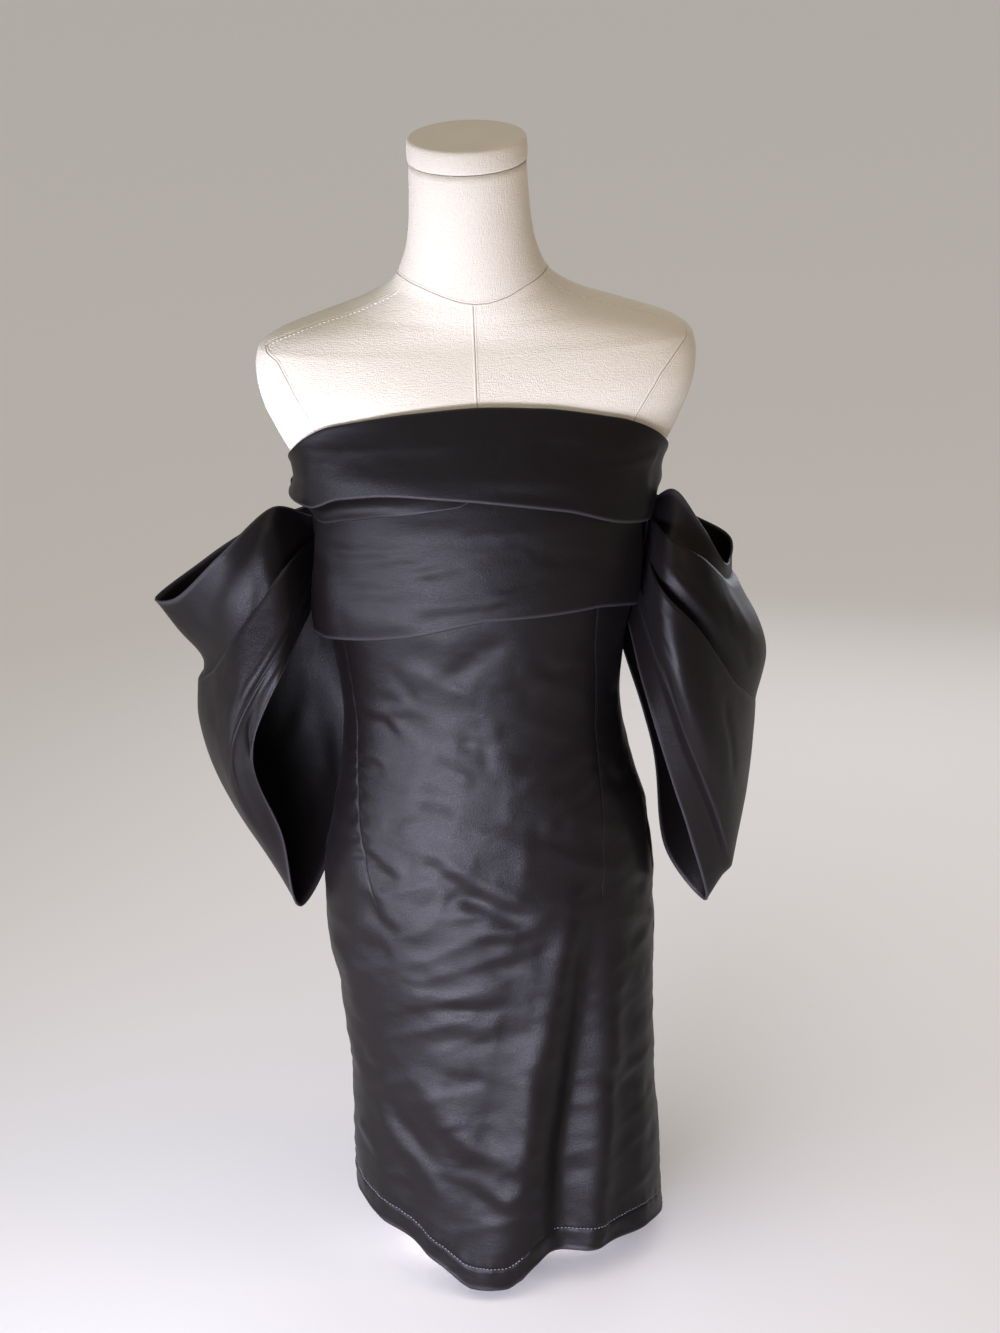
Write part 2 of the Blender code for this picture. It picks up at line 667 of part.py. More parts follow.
def make_turned(name, rings, look):
    """A solid through a stack of rings, closed flat at both ends."""
    count = len(rings[0])
    points = [point for ring in rings for point in ring]
    faces = [tuple(range(count - 1, -1, -1))]
    for i in range(len(rings) - 1):
        for j in range(count):
            a = i * count + j
            b = i * count + (j + 1) % count
            faces.append((a, b, b + count, a + count))
    last = (len(rings) - 1) * count
    faces.append(tuple(range(last, last + count)))
    return make_object(name, points, faces, look)


def form_rows():
    """The form's sections, with one more between each two where the dress sits close."""
    low, high = CLOSE_HEIGHTS
    heights = column(FORM_SECTIONS, 0)
    rows = [FORM_SECTIONS[0]]
    for before, after in zip(FORM_SECTIONS, FORM_SECTIONS[1:]):
        z = (before[0] + after[0]) / 2
        if low < z < high:
            rows.append((z, *[smooth_value(heights, column(FORM_SECTIONS, k), z) for k in range(1, 7)]))
        rows.append(after)
    return rows


def make_form():
    make_turned("form_torso", [form_ring(*section) for section in form_rows()], LINEN)
    neck_top = FORM_SECTIONS[-1]
    rings = [form_ring(*neck_top, out=out, up=SEAM_GAP + height) for height, out in CAP_PROFILE]
    make_turned("form_neck_cap", rings, LINEN)


def main():
    clear_scene()
    make_form()
    make_panels()
    make_lower_band()
    make_upper_band()
    make_sleeve("sleeve_left", LEFT_SLEEVE, -1)
    make_sleeve("sleeve_right", RIGHT_SLEEVE, 1)


main()
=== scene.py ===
"""The looks of the strapless mini dress: satin with folds, seams and stitches, on a linen dress form.

Angles run round the body in degrees: 0 at the front middle, 90 at +X, -90 at -X, 180 at the back.
The tables and the functions that place the cloth are the ones the solids were made from.
"""

import math

import bpy
import numpy as np
from mathutils import Matrix, Vector


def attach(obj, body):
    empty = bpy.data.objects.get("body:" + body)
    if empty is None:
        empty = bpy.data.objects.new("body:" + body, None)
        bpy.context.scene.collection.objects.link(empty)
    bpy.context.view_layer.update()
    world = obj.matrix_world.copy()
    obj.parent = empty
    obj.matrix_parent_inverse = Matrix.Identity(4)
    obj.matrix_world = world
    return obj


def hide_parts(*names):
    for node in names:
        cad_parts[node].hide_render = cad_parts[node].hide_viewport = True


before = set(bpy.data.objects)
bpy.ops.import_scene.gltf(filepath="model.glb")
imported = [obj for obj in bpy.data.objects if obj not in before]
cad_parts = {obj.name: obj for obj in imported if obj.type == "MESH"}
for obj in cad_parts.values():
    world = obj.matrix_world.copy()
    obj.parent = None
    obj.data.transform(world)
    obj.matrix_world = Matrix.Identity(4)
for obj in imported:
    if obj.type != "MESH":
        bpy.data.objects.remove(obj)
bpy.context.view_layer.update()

# Walls and the gaps between them
PANEL_WALL = 0.0016
BAND_WALL = 0.0020
SLEEVE_WALL = 0.0018
SEAT_GAP = 0.0016
LAYER_GAP = 0.0008
SEAM_GAP = 0.0003

# Where the panels meet, in degrees round the body
LEFT_SEAM = -90.0
RIGHT_SEAM = 84.0
BACK_SEAM = 180.0
LOWER_BAND_ENDS = (-70.0, 66.0)

# How far each layer is cut into faces
FORM_COLUMNS = 48
FRONT_COLUMNS = (7, 18, 7)
BACK_COLUMNS = 12
PANEL_ROWS = (0, 0.035, 0.09, 0.16, 0.23, 0.30, 0.37, 0.44, 0.51, 0.58, 0.65, 0.71,
              0.77, 0.82, 0.86, 0.895, 0.925, 0.95, 0.975, 1)
UPPER_BAND_ROWS = (0, 0.2, 0.5, 0.78, 1)
LOWER_BAND_ROWS = (0, 0.12, 0.35, 0.6, 0.82, 1)
SLEEVE_COLUMNS = 26
CURVE_STEPS = 24
NORMAL_PASSES = 3
SEAM_RADIUS = 0.14

# The darts' stitched grooves
DART_HALF_ANGLE = 1.6
DART_DEPTH = 0.0014
DART_FADE = 0.03

# The form, section by section: height, half width, reach to the front and to the back,
# the section's middle in Y, how squarely it is cut, and its tilt up towards the back in degrees
FORM_SECTIONS = (
    # z, half_width, front, back, middle, squareness, tilt
    (0.000, 0.098, 0.052, 0.080, 0.000, 2.2, 0),
    (0.006, 0.102, 0.056, 0.084, 0.000, 2.2, 0),
    (0.080, 0.115, 0.072, 0.096, 0.000, 2.2, 0),
    (0.180, 0.128, 0.088, 0.106, 0.000, 2.2, 0),
    (0.270, 0.1345, 0.097, 0.114, 0.000, 2.2, 0),
    (0.340, 0.1345, 0.099, 0.114, 0.000, 2.2, 0),
    (0.420, 0.125, 0.096, 0.104, 0.000, 2.2, 0),
    (0.480, 0.114, 0.090, 0.092, 0.000, 2.2, 0),
    (0.530, 0.110, 0.087, 0.084, 0.000, 2.2, 0),
    (0.580, 0.115, 0.091, 0.084, 0.000, 2.2, 0),
    (0.630, 0.127, 0.101, 0.089, 0.000, 2.2, 0),
    (0.670, 0.138, 0.110, 0.094, 0.000, 2.2, 0),
    (0.700, 0.143, 0.114, 0.097, 0.000, 2.2, 0),
    (0.725, 0.146, 0.1145, 0.099, 0.000, 2.2, 0),
    (0.745, 0.1480, 0.1125, 0.101, 0.000, 2.2, 0),
    (0.760, 0.1525, 0.1100, 0.102, 0.000, 2.2, 0),
    (0.775, 0.1615, 0.1070, 0.103, 0.000, 2.2, 0),
    (0.792, 0.1713, 0.1025, 0.104, 0.000, 2.2, 0),
    (0.810, 0.1803, 0.0975, 0.104, 0.000, 2.2, 0),
    (0.828, 0.1880, 0.0910, 0.101, 0.000, 2.3, 0),
    (0.846, 0.1920, 0.0835, 0.096, 0.000, 2.4, 1),
    (0.862, 0.1930, 0.0755, 0.089, 0.001, 2.4, 2),
    (0.875, 0.1905, 0.0690, 0.081, 0.002, 2.4, 4),
    (0.885, 0.1795, 0.0640, 0.074, 0.002, 2.3, 6),
    (0.892, 0.1635, 0.0610, 0.069, 0.001, 2.2, 7),
    (0.900, 0.1380, 0.0590, 0.064, 0.000, 2.1, 9),
    (0.910, 0.1045, 0.0575, 0.058, -0.002, 2.0, 12),
    (0.920, 0.0825, 0.0570, 0.054, -0.003, 2.0, 14),
    (0.931, 0.0685, 0.0565, 0.049, -0.004, 2.0, 16),
    (0.945, 0.0610, 0.0570, 0.045, -0.006, 2.0, 16),
    (0.965, 0.0550, 0.0595, 0.041, -0.009, 2.0, 14),
    (0.990, 0.0520, 0.0630, 0.038, -0.013, 2.0, 12),
    (1.031, 0.0505, 0.0680, 0.033, -0.018, 2.0, 11),
)
CLOSE_HEIGHTS = (0.63, 0.85)

# The neck cap's turned edge: height above the neck's top and how far it stands out from the neck
CAP_PROFILE = (
    # height, out
    (0.0000, -0.0020),
    (0.0015, 0.0005),
    (0.0170, 0.0005),
    (0.0190, -0.0008),
    (0.0200, -0.0035),
)

# The dress's inner face, section by section, as far as the bands: height and the reach each way
DRESS_SECTIONS = (
    # z, left, right, front, back
    (0.000, 0.1480, 0.1440, 0.1285, 0.1180),
    (0.090, 0.1475, 0.1430, 0.1250, 0.1190),
    (0.176, 0.1460, 0.1395, 0.1215, 0.1210),
    (0.270, 0.1510, 0.1400, 0.1180, 0.1240),
    (0.330, 0.1600, 0.1430, 0.1160, 0.1250),
    (0.377, 0.1610, 0.1430, 0.1145, 0.1230),
    (0.442, 0.1490, 0.1370, 0.1105, 0.1140),
    (0.500, 0.1370, 0.1225, 0.1050, 0.1020),
    (0.545, 0.1325, 0.1160, 0.1020, 0.0950),
    (0.600, 0.1380, 0.1215, 0.1070, 0.0940),
    (0.650, 0.1460, 0.1345, 0.1135, 0.0960),
    (0.700, 0.1480, 0.1450, 0.1160, 0.0990),
    (0.750, 0.1510, 0.1500, 0.1120, 0.1010),
    (0.840, 0.1540, 0.1540, 0.0800, 0.0900),
)
DRESS_SQUARENESS = 2.15

# The heights of the dress's edges round the body
HEM = (
    # angle, z
    (-180, 0.055),
    (-120, 0.068),
    (-83, 0.071),
    (-61, 0.061),
    (-47, 0.050),
    (-31, 0.031),
    (-17, 0.0125),
    (-4, 0.0125),
    (2, 0.019),
    (8, 0.030),
    (17, 0.036),
    (40, 0.035),
    (60, 0.037),
    (82, 0.028),
    (120, 0.036),
    (180, 0.055),
)
NECKLINE = (
    # angle, z
    (-180, 0.772),
    (-120, 0.768),
    (-90, 0.771),
    (-76, 0.788),
    (-58, 0.815),
    (-30, 0.826),
    (0, 0.829),
    (30, 0.826),
    (56, 0.813),
    (76, 0.784),
    (90, 0.761),
    (120, 0.763),
    (180, 0.772),
)

# The skirt's long folds: a ridge stands out and a trough lies in. Each fades out at its top
SKIRT_FOLDS = (
    # hem_angle, top_angle, top_z, half_angle, height
    (19, 50, 0.47, 17, -0.0180),
    (44, 66, 0.42, 15, -0.0070),
    (-11, 34, 0.46, 17, 0.0065),
    (-47, -38, 0.30, 14, -0.0065),
    (112, 104, 0.34, 15, -0.0060),
    (138, 130, 0.44, 17, 0.0070),
    (163, 168, 0.40, 14, -0.0080),
    (-168, -170, 0.36, 13, 0.0060),
    (-146, -150, 0.42, 16, -0.0080),
    (-120, -124, 0.30, 14, 0.0050),
)

# The two front darts, as lines of angle against height
LEFT_DART = (
    # z, angle
    (0.36, -50),
    (0.42, -57),
    (0.50, -66),
    (0.56, -68),
    (0.64, -66),
    (0.84, -60),
)
RIGHT_DART = (
    # z, angle
    (0.36, 46),
    (0.50, 52),
    (0.56, 54),
    (0.64, 49),
    (0.84, 46),
)
DART_ENDS = (0.375, 0.72)

# The upper band: its lower fold, how far its under layer shows below, and its flare off the panel
UPPER_BAND = (
    # angle, fold_z, under_drop, flare
    (-180, 0.716, 0.003, 0.003),
    (-125, 0.735, 0.003, 0.008),
    (-90, 0.7460, 0.003, 0.0165),
    (-78, 0.7450, 0.003, 0.0155),
    (-68, 0.7440, 0.012, 0.0125),
    (-54, 0.7560, 0.019, 0.0080),
    (-36, 0.7610, 0.017, 0.0050),
    (-14, 0.7580, 0.008, 0.0040),
    (0, 0.7550, 0.003, 0.0040),
    (32, 0.7430, 0.003, 0.0045),
    (56, 0.7240, 0.003, 0.0060),
    (68, 0.7200, 0.003, 0.0075),
    (78, 0.7450, 0.003, 0.0065),
    (90, 0.7480, 0.003, 0.0060),
    (125, 0.7350, 0.003, 0.0050),
    (180, 0.7160, 0.003, 0.0030),
)
UPPER_BAND_RISE = 0.0012
FOLD_TUCK = 0.0032
FOLD_ROLL = 0.0022

# The lower band: its lower edge and how far that edge stands off the panel
LOWER_BAND = (
    # angle, edge_z, flare
    (-74, 0.633, 0.0175),
    (-66, 0.627, 0.0140),
    (-56, 0.629, 0.0080),
    (-34, 0.636, 0.0030),
    (4, 0.651, 0.0016),
    (45, 0.652, 0.0030),
    (58, 0.648, 0.0060),
    (68, 0.644, 0.0090),
)
LOWER_BAND_TOP = 0.770

# How the upper band comes down to the panel past the lower band's ends, in degrees, and above its top
BAND_END_MARGIN = 3.0
BAND_END_FADE = 5.0
BAND_TOP_MARGIN = 0.004
BAND_TOP_FADE = 0.015

# Each sleeve is one wide band, pleated into a seam at the front of the side and another at its back.
# A row is a line that runs the band's length: its front seam (angle, z), four places on the front
# half, two on the back half (all as distance out from the middle, y, z) and its back seam.
LEFT_SLEEVE = (
    # name, rows to next, front seam, near, far, low, turn, back far, back near, back seam
    ("upper hem", 1, (-82, 0.728), (0.183, -0.044, 0.7410), (0.230, -0.058, 0.7040),
     (0.277, -0.026, 0.6580), (0.299, 0.003, 0.6510), (0.266, 0.036, 0.6700),
     (0.214, 0.050, 0.7000), (-112, 0.729)),
    ("flap", 1, (-83, 0.724), (0.185, -0.054, 0.7340), (0.226, -0.064, 0.6830),
     (0.263, -0.028, 0.6310), (0.280, 0.003, 0.6220), (0.257, 0.042, 0.6420),
     (0.206, 0.058, 0.6860), (-113, 0.725)),
    ("flap ridge", 1, (-84, 0.719), (0.184, -0.062, 0.7260), (0.219, -0.070, 0.6660),
     (0.246, -0.034, 0.6110), (0.2590, 0.001, 0.5960), (0.241, 0.046, 0.6180),
     (0.198, 0.064, 0.6710), (-114, 0.720)),
    ("under pleat", 1, (-85, 0.711), (0.177, -0.071, 0.6960), (0.211, -0.072, 0.6500),
     (0.243, -0.038, 0.6000), (0.2605, -0.001, 0.5830), (0.242, 0.050, 0.6020),
     (0.193, 0.069, 0.6600), (-115, 0.712)),
    ("pleat edge", 2, (-85, 0.706), (0.176, -0.080, 0.6890), (0.213, -0.081, 0.6430),
     (0.248, -0.041, 0.5920), (0.2650, -0.001, 0.5750), (0.246, 0.055, 0.5930),
     (0.193, 0.075, 0.6520), (-115, 0.706)),
    ("upper lobe", 1, (-86, 0.692), (0.175, -0.090, 0.6580), (0.220, -0.092, 0.5960),
     (0.253, -0.048, 0.5540), (0.2665, 0.000, 0.5430), (0.243, 0.058, 0.5580),
     (0.188, 0.080, 0.6280), (-116, 0.690)),
    ("lower lobe", 2, (-86, 0.677), (0.176, -0.095, 0.6390), (0.226, -0.091, 0.5660),
     (0.245, -0.054, 0.5100), (0.2565, 0.000, 0.4980), (0.230, 0.060, 0.5110),
     (0.178, 0.084, 0.5900), (-117, 0.660)),
    ("lobe foot", 2, (-86, 0.668), (0.1765, -0.097, 0.6280), (0.2265, -0.0885, 0.5410),
     (0.226, -0.062, 0.4640), (0.2240, 0.000, 0.4300), (0.202, 0.056, 0.4480),
     (0.160, 0.086, 0.5480), (-118, 0.630)),
    ("lower hem", 0, (-86, 0.658), (0.177, -0.097, 0.6130), (0.2120, -0.0865, 0.5300),
     (0.194, -0.058, 0.4420), (0.1860, 0.000, 0.3480), (0.157, 0.046, 0.3880),
     (0.136, 0.084, 0.5000), (-119, 0.600)),
)
RIGHT_SLEEVE = (
    # name, rows to next, front seam, near, far, low, turn, back far, back near, back seam
    ("upper hem", 1, (83, 0.728), (0.169, -0.040, 0.7410), (0.192, -0.049, 0.7090),
     (0.212, -0.030, 0.6710), (0.2205, 0.004, 0.6660), (0.2245, 0.032, 0.6790),
     (0.192, 0.046, 0.6980), (106, 0.729)),
    ("under first pleat", 1, (82, 0.718), (0.161, -0.068, 0.7090), (0.188, -0.062, 0.6900),
     (0.212, -0.031, 0.6600), (0.2225, 0.003, 0.6530), (0.222, 0.038, 0.6560),
     (0.187, 0.054, 0.6900), (107, 0.722)),
    ("first pleat edge", 2, (81, 0.714), (0.161, -0.077, 0.7040), (0.190, -0.071, 0.6850),
     (0.217, -0.034, 0.6520), (0.2275, 0.002, 0.6430), (0.226, 0.044, 0.6460),
     (0.186, 0.060, 0.6830), (107, 0.715)),
    ("outer crease", 2, (80, 0.700), (0.158, -0.090, 0.6820), (0.196, -0.088, 0.6440),
     (0.237, -0.044, 0.6010), (0.2520, 0.001, 0.5880), (0.239, 0.052, 0.5950),
     (0.184, 0.066, 0.6560), (107, 0.697)),
    ("under second pleat", 1, (80, 0.688), (0.152, -0.091, 0.6690), (0.180, -0.092, 0.6370),
     (0.218, -0.060, 0.5750), (0.2430, 0.000, 0.5360), (0.232, 0.057, 0.5420),
     (0.178, 0.069, 0.6280), (106, 0.682)),
    ("second pleat edge", 2, (80, 0.683), (0.153, -0.101, 0.6630), (0.182, -0.102, 0.6300),
     (0.220, -0.064, 0.5670), (0.2420, 0.000, 0.5280), (0.231, 0.058, 0.5320),
     (0.177, 0.070, 0.6200), (106, 0.675)),
    ("lobe", 2, (80, 0.664), (0.151, -0.104, 0.6340), (0.180, -0.108, 0.5700),
     (0.214, -0.070, 0.5000), (0.2350, 0.000, 0.4650), (0.217, 0.052, 0.4720),
     (0.169, 0.062, 0.5700), (105, 0.655)),
    ("outer hem", 1, (80, 0.643), (0.149, -0.096, 0.5960), (0.172, -0.098, 0.5250),
     (0.1990, -0.062, 0.4480), (0.2170, 0.000, 0.3690), (0.195, 0.040, 0.3960),
     (0.160, 0.050, 0.5150), (104, 0.625)),
    ("tuck under the hem", 1, (80, 0.637), (0.146, -0.085, 0.5900), (0.167, -0.086, 0.5180),
     (0.1930, -0.051, 0.4420), (0.2105, 0.000, 0.3620), (0.190, 0.033, 0.3880),
     (0.157, 0.045, 0.5060), (103, 0.617)),
    ("inner hem", 0, (80, 0.618), (0.142, -0.072, 0.5480), (0.156, -0.070, 0.4950),
     (0.1760, -0.046, 0.4220), (0.1930, 0.000, 0.3370), (0.1600, 0.022, 0.3800),
     (0.1500, 0.034, 0.4800), (101, 0.592)),
)

# The neck cap's rounded edge: height above the neck's top and how far it stands out
CAP_RINGS = ((0.0000, -0.0030), (0.0006, -0.0006), (0.0016, 0.0006), (0.0030, 0.0010), (0.0090, 0.0012),
             (0.0150, 0.0010), (0.0180, 0.0004), (0.0194, -0.0008), (0.0200, -0.0026), (0.0203, -0.0060),
             (0.0204, -0.0140))
HEM_DEPTH = 0.021
HEM_SHARE = 0.036
HEM_ROWS = 22

# How finely the cloth is cut, and how thick it is
SATIN_WALL = 0.0009
HEM_WALL = 0.0022
HEM_FADE = 0.004
FRONT_SPANS = (24, 84, 30)
DART_OFFSETS = (-1.6, -1.0, -0.55, -0.25, 0.0, 0.25, 0.55, 1.0, 1.6)
FRONT_ROWS = 236
BACK_FINE_COLUMNS = 84
BACK_ROWS = 190
SLEEVE_FINE_COLUMNS = 190
SLEEVE_ROW_STEP = 0.0030
BODY_RADIUS = 0.125

# Creases of the front: how each is shaped, its half width, its depth and the places it runs through
FRONT_CREASES = (
    # kind, width, depth, (angle, z) places
    ("dip", 0.010, -0.0018, ((15.1, 0.637), (-4.1, 0.617), (-16.4, 0.599), (-28.2, 0.588))),
    ("dip", 0.008, -0.0012, ((-2.0, 0.577), (14.2, 0.584), (24.3, 0.576))),
    ("turn", 0.007, 0.0016, ((-69.4, 0.557), (-50.8, 0.555), (-40.7, 0.537))),
    ("turn", 0.006, 0.0014, ((-67.9, 0.513), (-58.1, 0.514), (-48.1, 0.508))),
    ("dip", 0.009, -0.0013, ((-18.4, 0.537), (-6.0, 0.530), (2.5, 0.517))),
    ("turn", 0.010, 0.0015, ((42.7, 0.528), (26.0, 0.516), (9.1, 0.499))),
    ("dip", 0.009, -0.0013, ((-38.4, 0.489), (-26.0, 0.484), (-15.0, 0.475))),
    ("turn", 0.009, 0.0018, ((49.9, 0.511), (41.0, 0.491), (26.1, 0.477))),
    ("dip", 0.006, -0.0014, ((-50.5, 0.458), (-40.6, 0.455))),
    ("turn", 0.012, 0.0026, ((-37.0, 0.438), (-18.5, 0.414), (-3.8, 0.395), (23.8, 0.365))),
    ("turn", 0.009, 0.0018, ((-60.9, 0.438), (-46.0, 0.416), (-40.0, 0.404))),
    ("dip", 0.010, -0.0018, ((-39.9, 0.373), (-28.0, 0.389), (-16.7, 0.393), (-2.1, 0.381))),
    ("turn", 0.009, 0.0015, ((-15.3, 0.357), (6.0, 0.355), (23.8, 0.364))),
    ("dip", 0.010, -0.0020, ((-13.6, 0.333), (1.0, 0.326), (16.0, 0.337), (28.7, 0.360))),
    ("turn", 0.010, 0.0018, ((-46.1, 0.280), (-32.5, 0.294), (-14.4, 0.291), (6.8, 0.298))),
    ("dip", 0.010, -0.0015, ((-36.5, 0.254), (-17.1, 0.256), (4.0, 0.260), (19.1, 0.266))),
    ("turn", 0.009, 0.0018, ((-54.8, 0.400), (-49.5, 0.371), (-40.0, 0.355))),
    ("dip", 0.015, 0.0034, ((-42.9, 0.233), (-32.7, 0.195), (-27.2, 0.182), (-14.6, 0.152), (3.4, 0.122))),
    ("turn", 0.012, -0.0022, ((-59.7, 0.195), (-49.8, 0.163), (-37.1, 0.133), (-22.4, 0.099))),
    ("dip", 0.012, 0.0020, ((-66.0, 0.325), (-66.5, 0.302), (-67.4, 0.255))),
    ("turn", 0.010, 0.0016, ((-76.6, 0.145), (-68.0, 0.132), (-58.5, 0.125))),
    ("dip", 0.012, -0.0020, ((-72.0, 0.225), (-60.0, 0.212), (-47.0, 0.236))),
    ("dip", 0.010, -0.0016, ((-8.0, 0.225), (-20.0, 0.214), (-27.0, 0.222))),
    ("turn", 0.012, 0.0018, ((-22.0, 0.122), (-8.0, 0.105), (0.0, 0.082))),
    ("dip", 0.010, -0.0014, ((-62.0, 0.350), (-54.0, 0.338), (-46.0, 0.345))),
    ("dip", 0.008, 0.0012, ((-30.0, 0.520), (-20.0, 0.512), (-8.0, 0.497))),
    ("dip", 0.008, -0.0012, ((-46.0, 0.600), (-38.0, 0.588), (-36.0, 0.566))),
    ("turn", 0.008, 0.0012, ((24.0, 0.610), (34.0, 0.600), (46.0, 0.604))),
    ("dip", 0.009, -0.0014, ((12.0, 0.455), (26.0, 0.448), (37.0, 0.462))),
    ("dip", 0.009, -0.0014, ((62.0, 0.585), (66.0, 0.560), (78.0, 0.548))),
    ("turn", 0.010, 0.0016, ((56.0, 0.500), (64.0, 0.482), (76.0, 0.486))),
    ("dip", 0.010, -0.0016, ((52.0, 0.400), (62.0, 0.382), (74.0, 0.372))),
    ("dip", 0.010, 0.0014, ((60.0, 0.300), (68.0, 0.282), (80.0, 0.288))),
    ("turn", 0.011, 0.0016, ((44.0, 0.215), (54.0, 0.196), (64.0, 0.201))),
    ("dip", 0.011, -0.0016, ((28.0, 0.125), (36.0, 0.108), (48.0, 0.112))),
    ("dip", 0.010, -0.0014, ((56.0, 0.130), (66.0, 0.118), (76.0, 0.124))),
)

# The deep fold on the right of the skirt: its left edge stands out, its right edge lies in
DEEP_FOLD = (
    ("dip", 0.013, 0.0034, ((40.7, 0.434), (30.3, 0.359), (26.0, 0.326), (19.6, 0.281), (15.9, 0.247),
                            (10.1, 0.215), (6.7, 0.148), (3.8, 0.106), (2.1, 0.020))),
    ("dip", 0.014, -0.0058, ((44.9, 0.410), (41.0, 0.340), (37.2, 0.293), (32.8, 0.221), (27.5, 0.168),
                             (22.7, 0.132), (19.0, 0.030))),
    ("dip", 0.016, 0.0030, ((48.5, 0.330), (48.2, 0.258), (44.9, 0.180), (39.0, 0.103), (37.0, 0.040))),
)

# The puckers of the darts' stitching: where along a dart, how far out, how deep and how close together
PUCKERS = (
    # side, low_z, high_z, reach, depth, period
    (-1, 0.405, 0.535, 0.011, 0.00110, 0.0155),
    (-1, 0.530, 0.610, 0.006, 0.00040, 0.0170),
    (1, 0.440, 0.530, 0.008, 0.00050, 0.0210),
)

BACK_CREASES = (
    # kind, width, depth, (angle, z) places
    ("dip", 0.011, -0.0020, ((176.0, 0.560), (160.0, 0.552), (140.0, 0.566))),
    ("dip", 0.011, -0.0018, ((178.0, 0.520), (158.0, 0.508), (134.0, 0.516))),
    ("turn", 0.012, 0.0022, ((174.0, 0.470), (150.0, 0.462), (118.0, 0.482))),
    ("dip", 0.011, -0.0018, ((150.0, 0.400), (128.0, 0.386), (104.0, 0.398))),
    ("turn", 0.012, 0.0018, ((168.0, 0.330), (146.0, 0.314), (122.0, 0.322))),
    ("dip", 0.012, 0.0020, ((160.0, 0.250), (140.0, 0.210), (124.0, 0.160))),
    ("turn", 0.012, 0.0018, ((118.0, 0.260), (104.0, 0.230), (96.0, 0.190))),
    ("dip", 0.010, -0.0014, ((112.0, 0.600), (104.0, 0.580), (92.0, 0.590))),
    ("dip", 0.011, -0.0020, ((-174.0, 0.566), (-156.0, 0.548), (-136.0, 0.556))),
    ("turn", 0.011, 0.0018, ((-178.0, 0.506), (-154.0, 0.498), (-126.0, 0.512))),
    ("dip", 0.012, -0.0022, ((-170.0, 0.452), (-148.0, 0.436), (-120.0, 0.446))),
    ("dip", 0.010, -0.0016, ((-150.0, 0.372), (-132.0, 0.366), (-108.0, 0.378))),
    ("turn", 0.012, 0.0020, ((-172.0, 0.300), (-152.0, 0.290), (-126.0, 0.306))),
    ("dip", 0.013, 0.0022, ((-164.0, 0.232), (-146.0, 0.190), (-130.0, 0.140))),
    ("turn", 0.011, 0.0016, ((-118.0, 0.250), (-106.0, 0.220), (-96.0, 0.205))),
    ("dip", 0.010, -0.0014, ((-112.0, 0.610), (-104.0, 0.586), (-94.0, 0.592))),
)

UPPER_BAND_CREASES = (
    # kind, width, depth, (angle, z) places
    ("dip", 0.008, 0.0009, ((-64.0, 0.806), (-67.3, 0.769), (-70.0, 0.730))),
    ("dip", 0.008, 0.0016, ((66.5, 0.775), (65.7, 0.738), (62.4, 0.700))),
    ("dip", 0.005, -0.0004, ((8.3, 0.803), (7.8, 0.784))),
    ("dip", 0.012, -0.0008, ((-50.0, 0.795), (-30.0, 0.790), (-8.0, 0.781))),
    ("turn", 0.010, 0.0007, ((-10.0, 0.772), (16.0, 0.766), (44.0, 0.757))),
    ("dip", 0.011, -0.0008, ((20.0, 0.800), (38.0, 0.790), (54.0, 0.772))),
    ("dip", 0.012, -0.0012, ((110.0, 0.756), (140.0, 0.750), (170.0, 0.744))),
    ("turn", 0.011, 0.0006, ((-104.0, 0.758), (-136.0, 0.752), (-166.0, 0.748))),
)

LOWER_BAND_CREASES = (
    # kind, width, depth, (angle, z) places
    ("turn", 0.006, 0.0005, ((-70.0, 0.704), (-48.0, 0.706), (-30.0, 0.711))),
    ("turn", 0.007, 0.0006, ((-52.0, 0.690), (-27.4, 0.697), (-10.0, 0.704), (0.0, 0.706))),
    ("dip", 0.006, -0.0004, ((-30.0, 0.690), (-17.7, 0.700), (-4.0, 0.700))),
    ("turn", 0.006, 0.0004, ((-14.0, 0.718), (0.0, 0.724), (14.0, 0.724), (26.0, 0.718))),
    ("dip", 0.008, -0.0006, ((-66.0, 0.672), (-44.0, 0.676), (-20.0, 0.684))),
    ("dip", 0.008, -0.0006, ((-26.0, 0.668), (-8.0, 0.676), (18.0, 0.686), (34.0, 0.690))),
    ("turn", 0.010, 0.0009, ((-36.0, 0.655), (-10.0, 0.662), (20.0, 0.670))),
    ("dip", 0.007, -0.0009, ((20.0, 0.704), (38.0, 0.700), (56.0, 0.690))),
    ("dip", 0.012, 0.0010, ((-60.0, 0.650), (-40.0, 0.652), (-24.0, 0.655))),
)

# Creases of each sleeve: places are shares of the way from the front seam to the back one, and rows
# of the sleeve's table counted from its upper hem
LEFT_SLEEVE_CREASES = (
    # kind, width, depth, (share, row) places
    ("dip", 0.011, -0.0016, ((0.18, 0.3), (0.30, 0.8), (0.42, 1.3))),
    ("dip", 0.012, -0.0020, ((0.30, 4.7), (0.38, 5.1), (0.45, 5.0))),
    ("dip", 0.014, 0.0020, ((0.10, 5.4), (0.22, 5.7), (0.33, 6.0))),
    ("turn", 0.010, 0.0016, ((0.20, 6.4), (0.30, 6.7), (0.41, 6.6))),
    ("dip", 0.010, -0.0016, ((0.33, 6.9), (0.40, 7.2), (0.46, 7.4))),
    ("dip", 0.007, -0.0020, ((0.255, 7.2), (0.275, 7.6), (0.285, 8.0))),
    ("dip", 0.011, -0.0018, ((0.60, 1.0), (0.72, 1.6), (0.84, 2.2))),
    ("dip", 0.012, -0.0020, ((0.58, 4.8), (0.70, 5.3), (0.84, 5.6))),
    ("turn", 0.012, 0.0020, ((0.56, 6.2), (0.68, 6.6), (0.82, 6.9))),
    ("dip", 0.010, -0.0014, ((0.62, 7.3), (0.72, 7.5), (0.82, 7.6))),
)
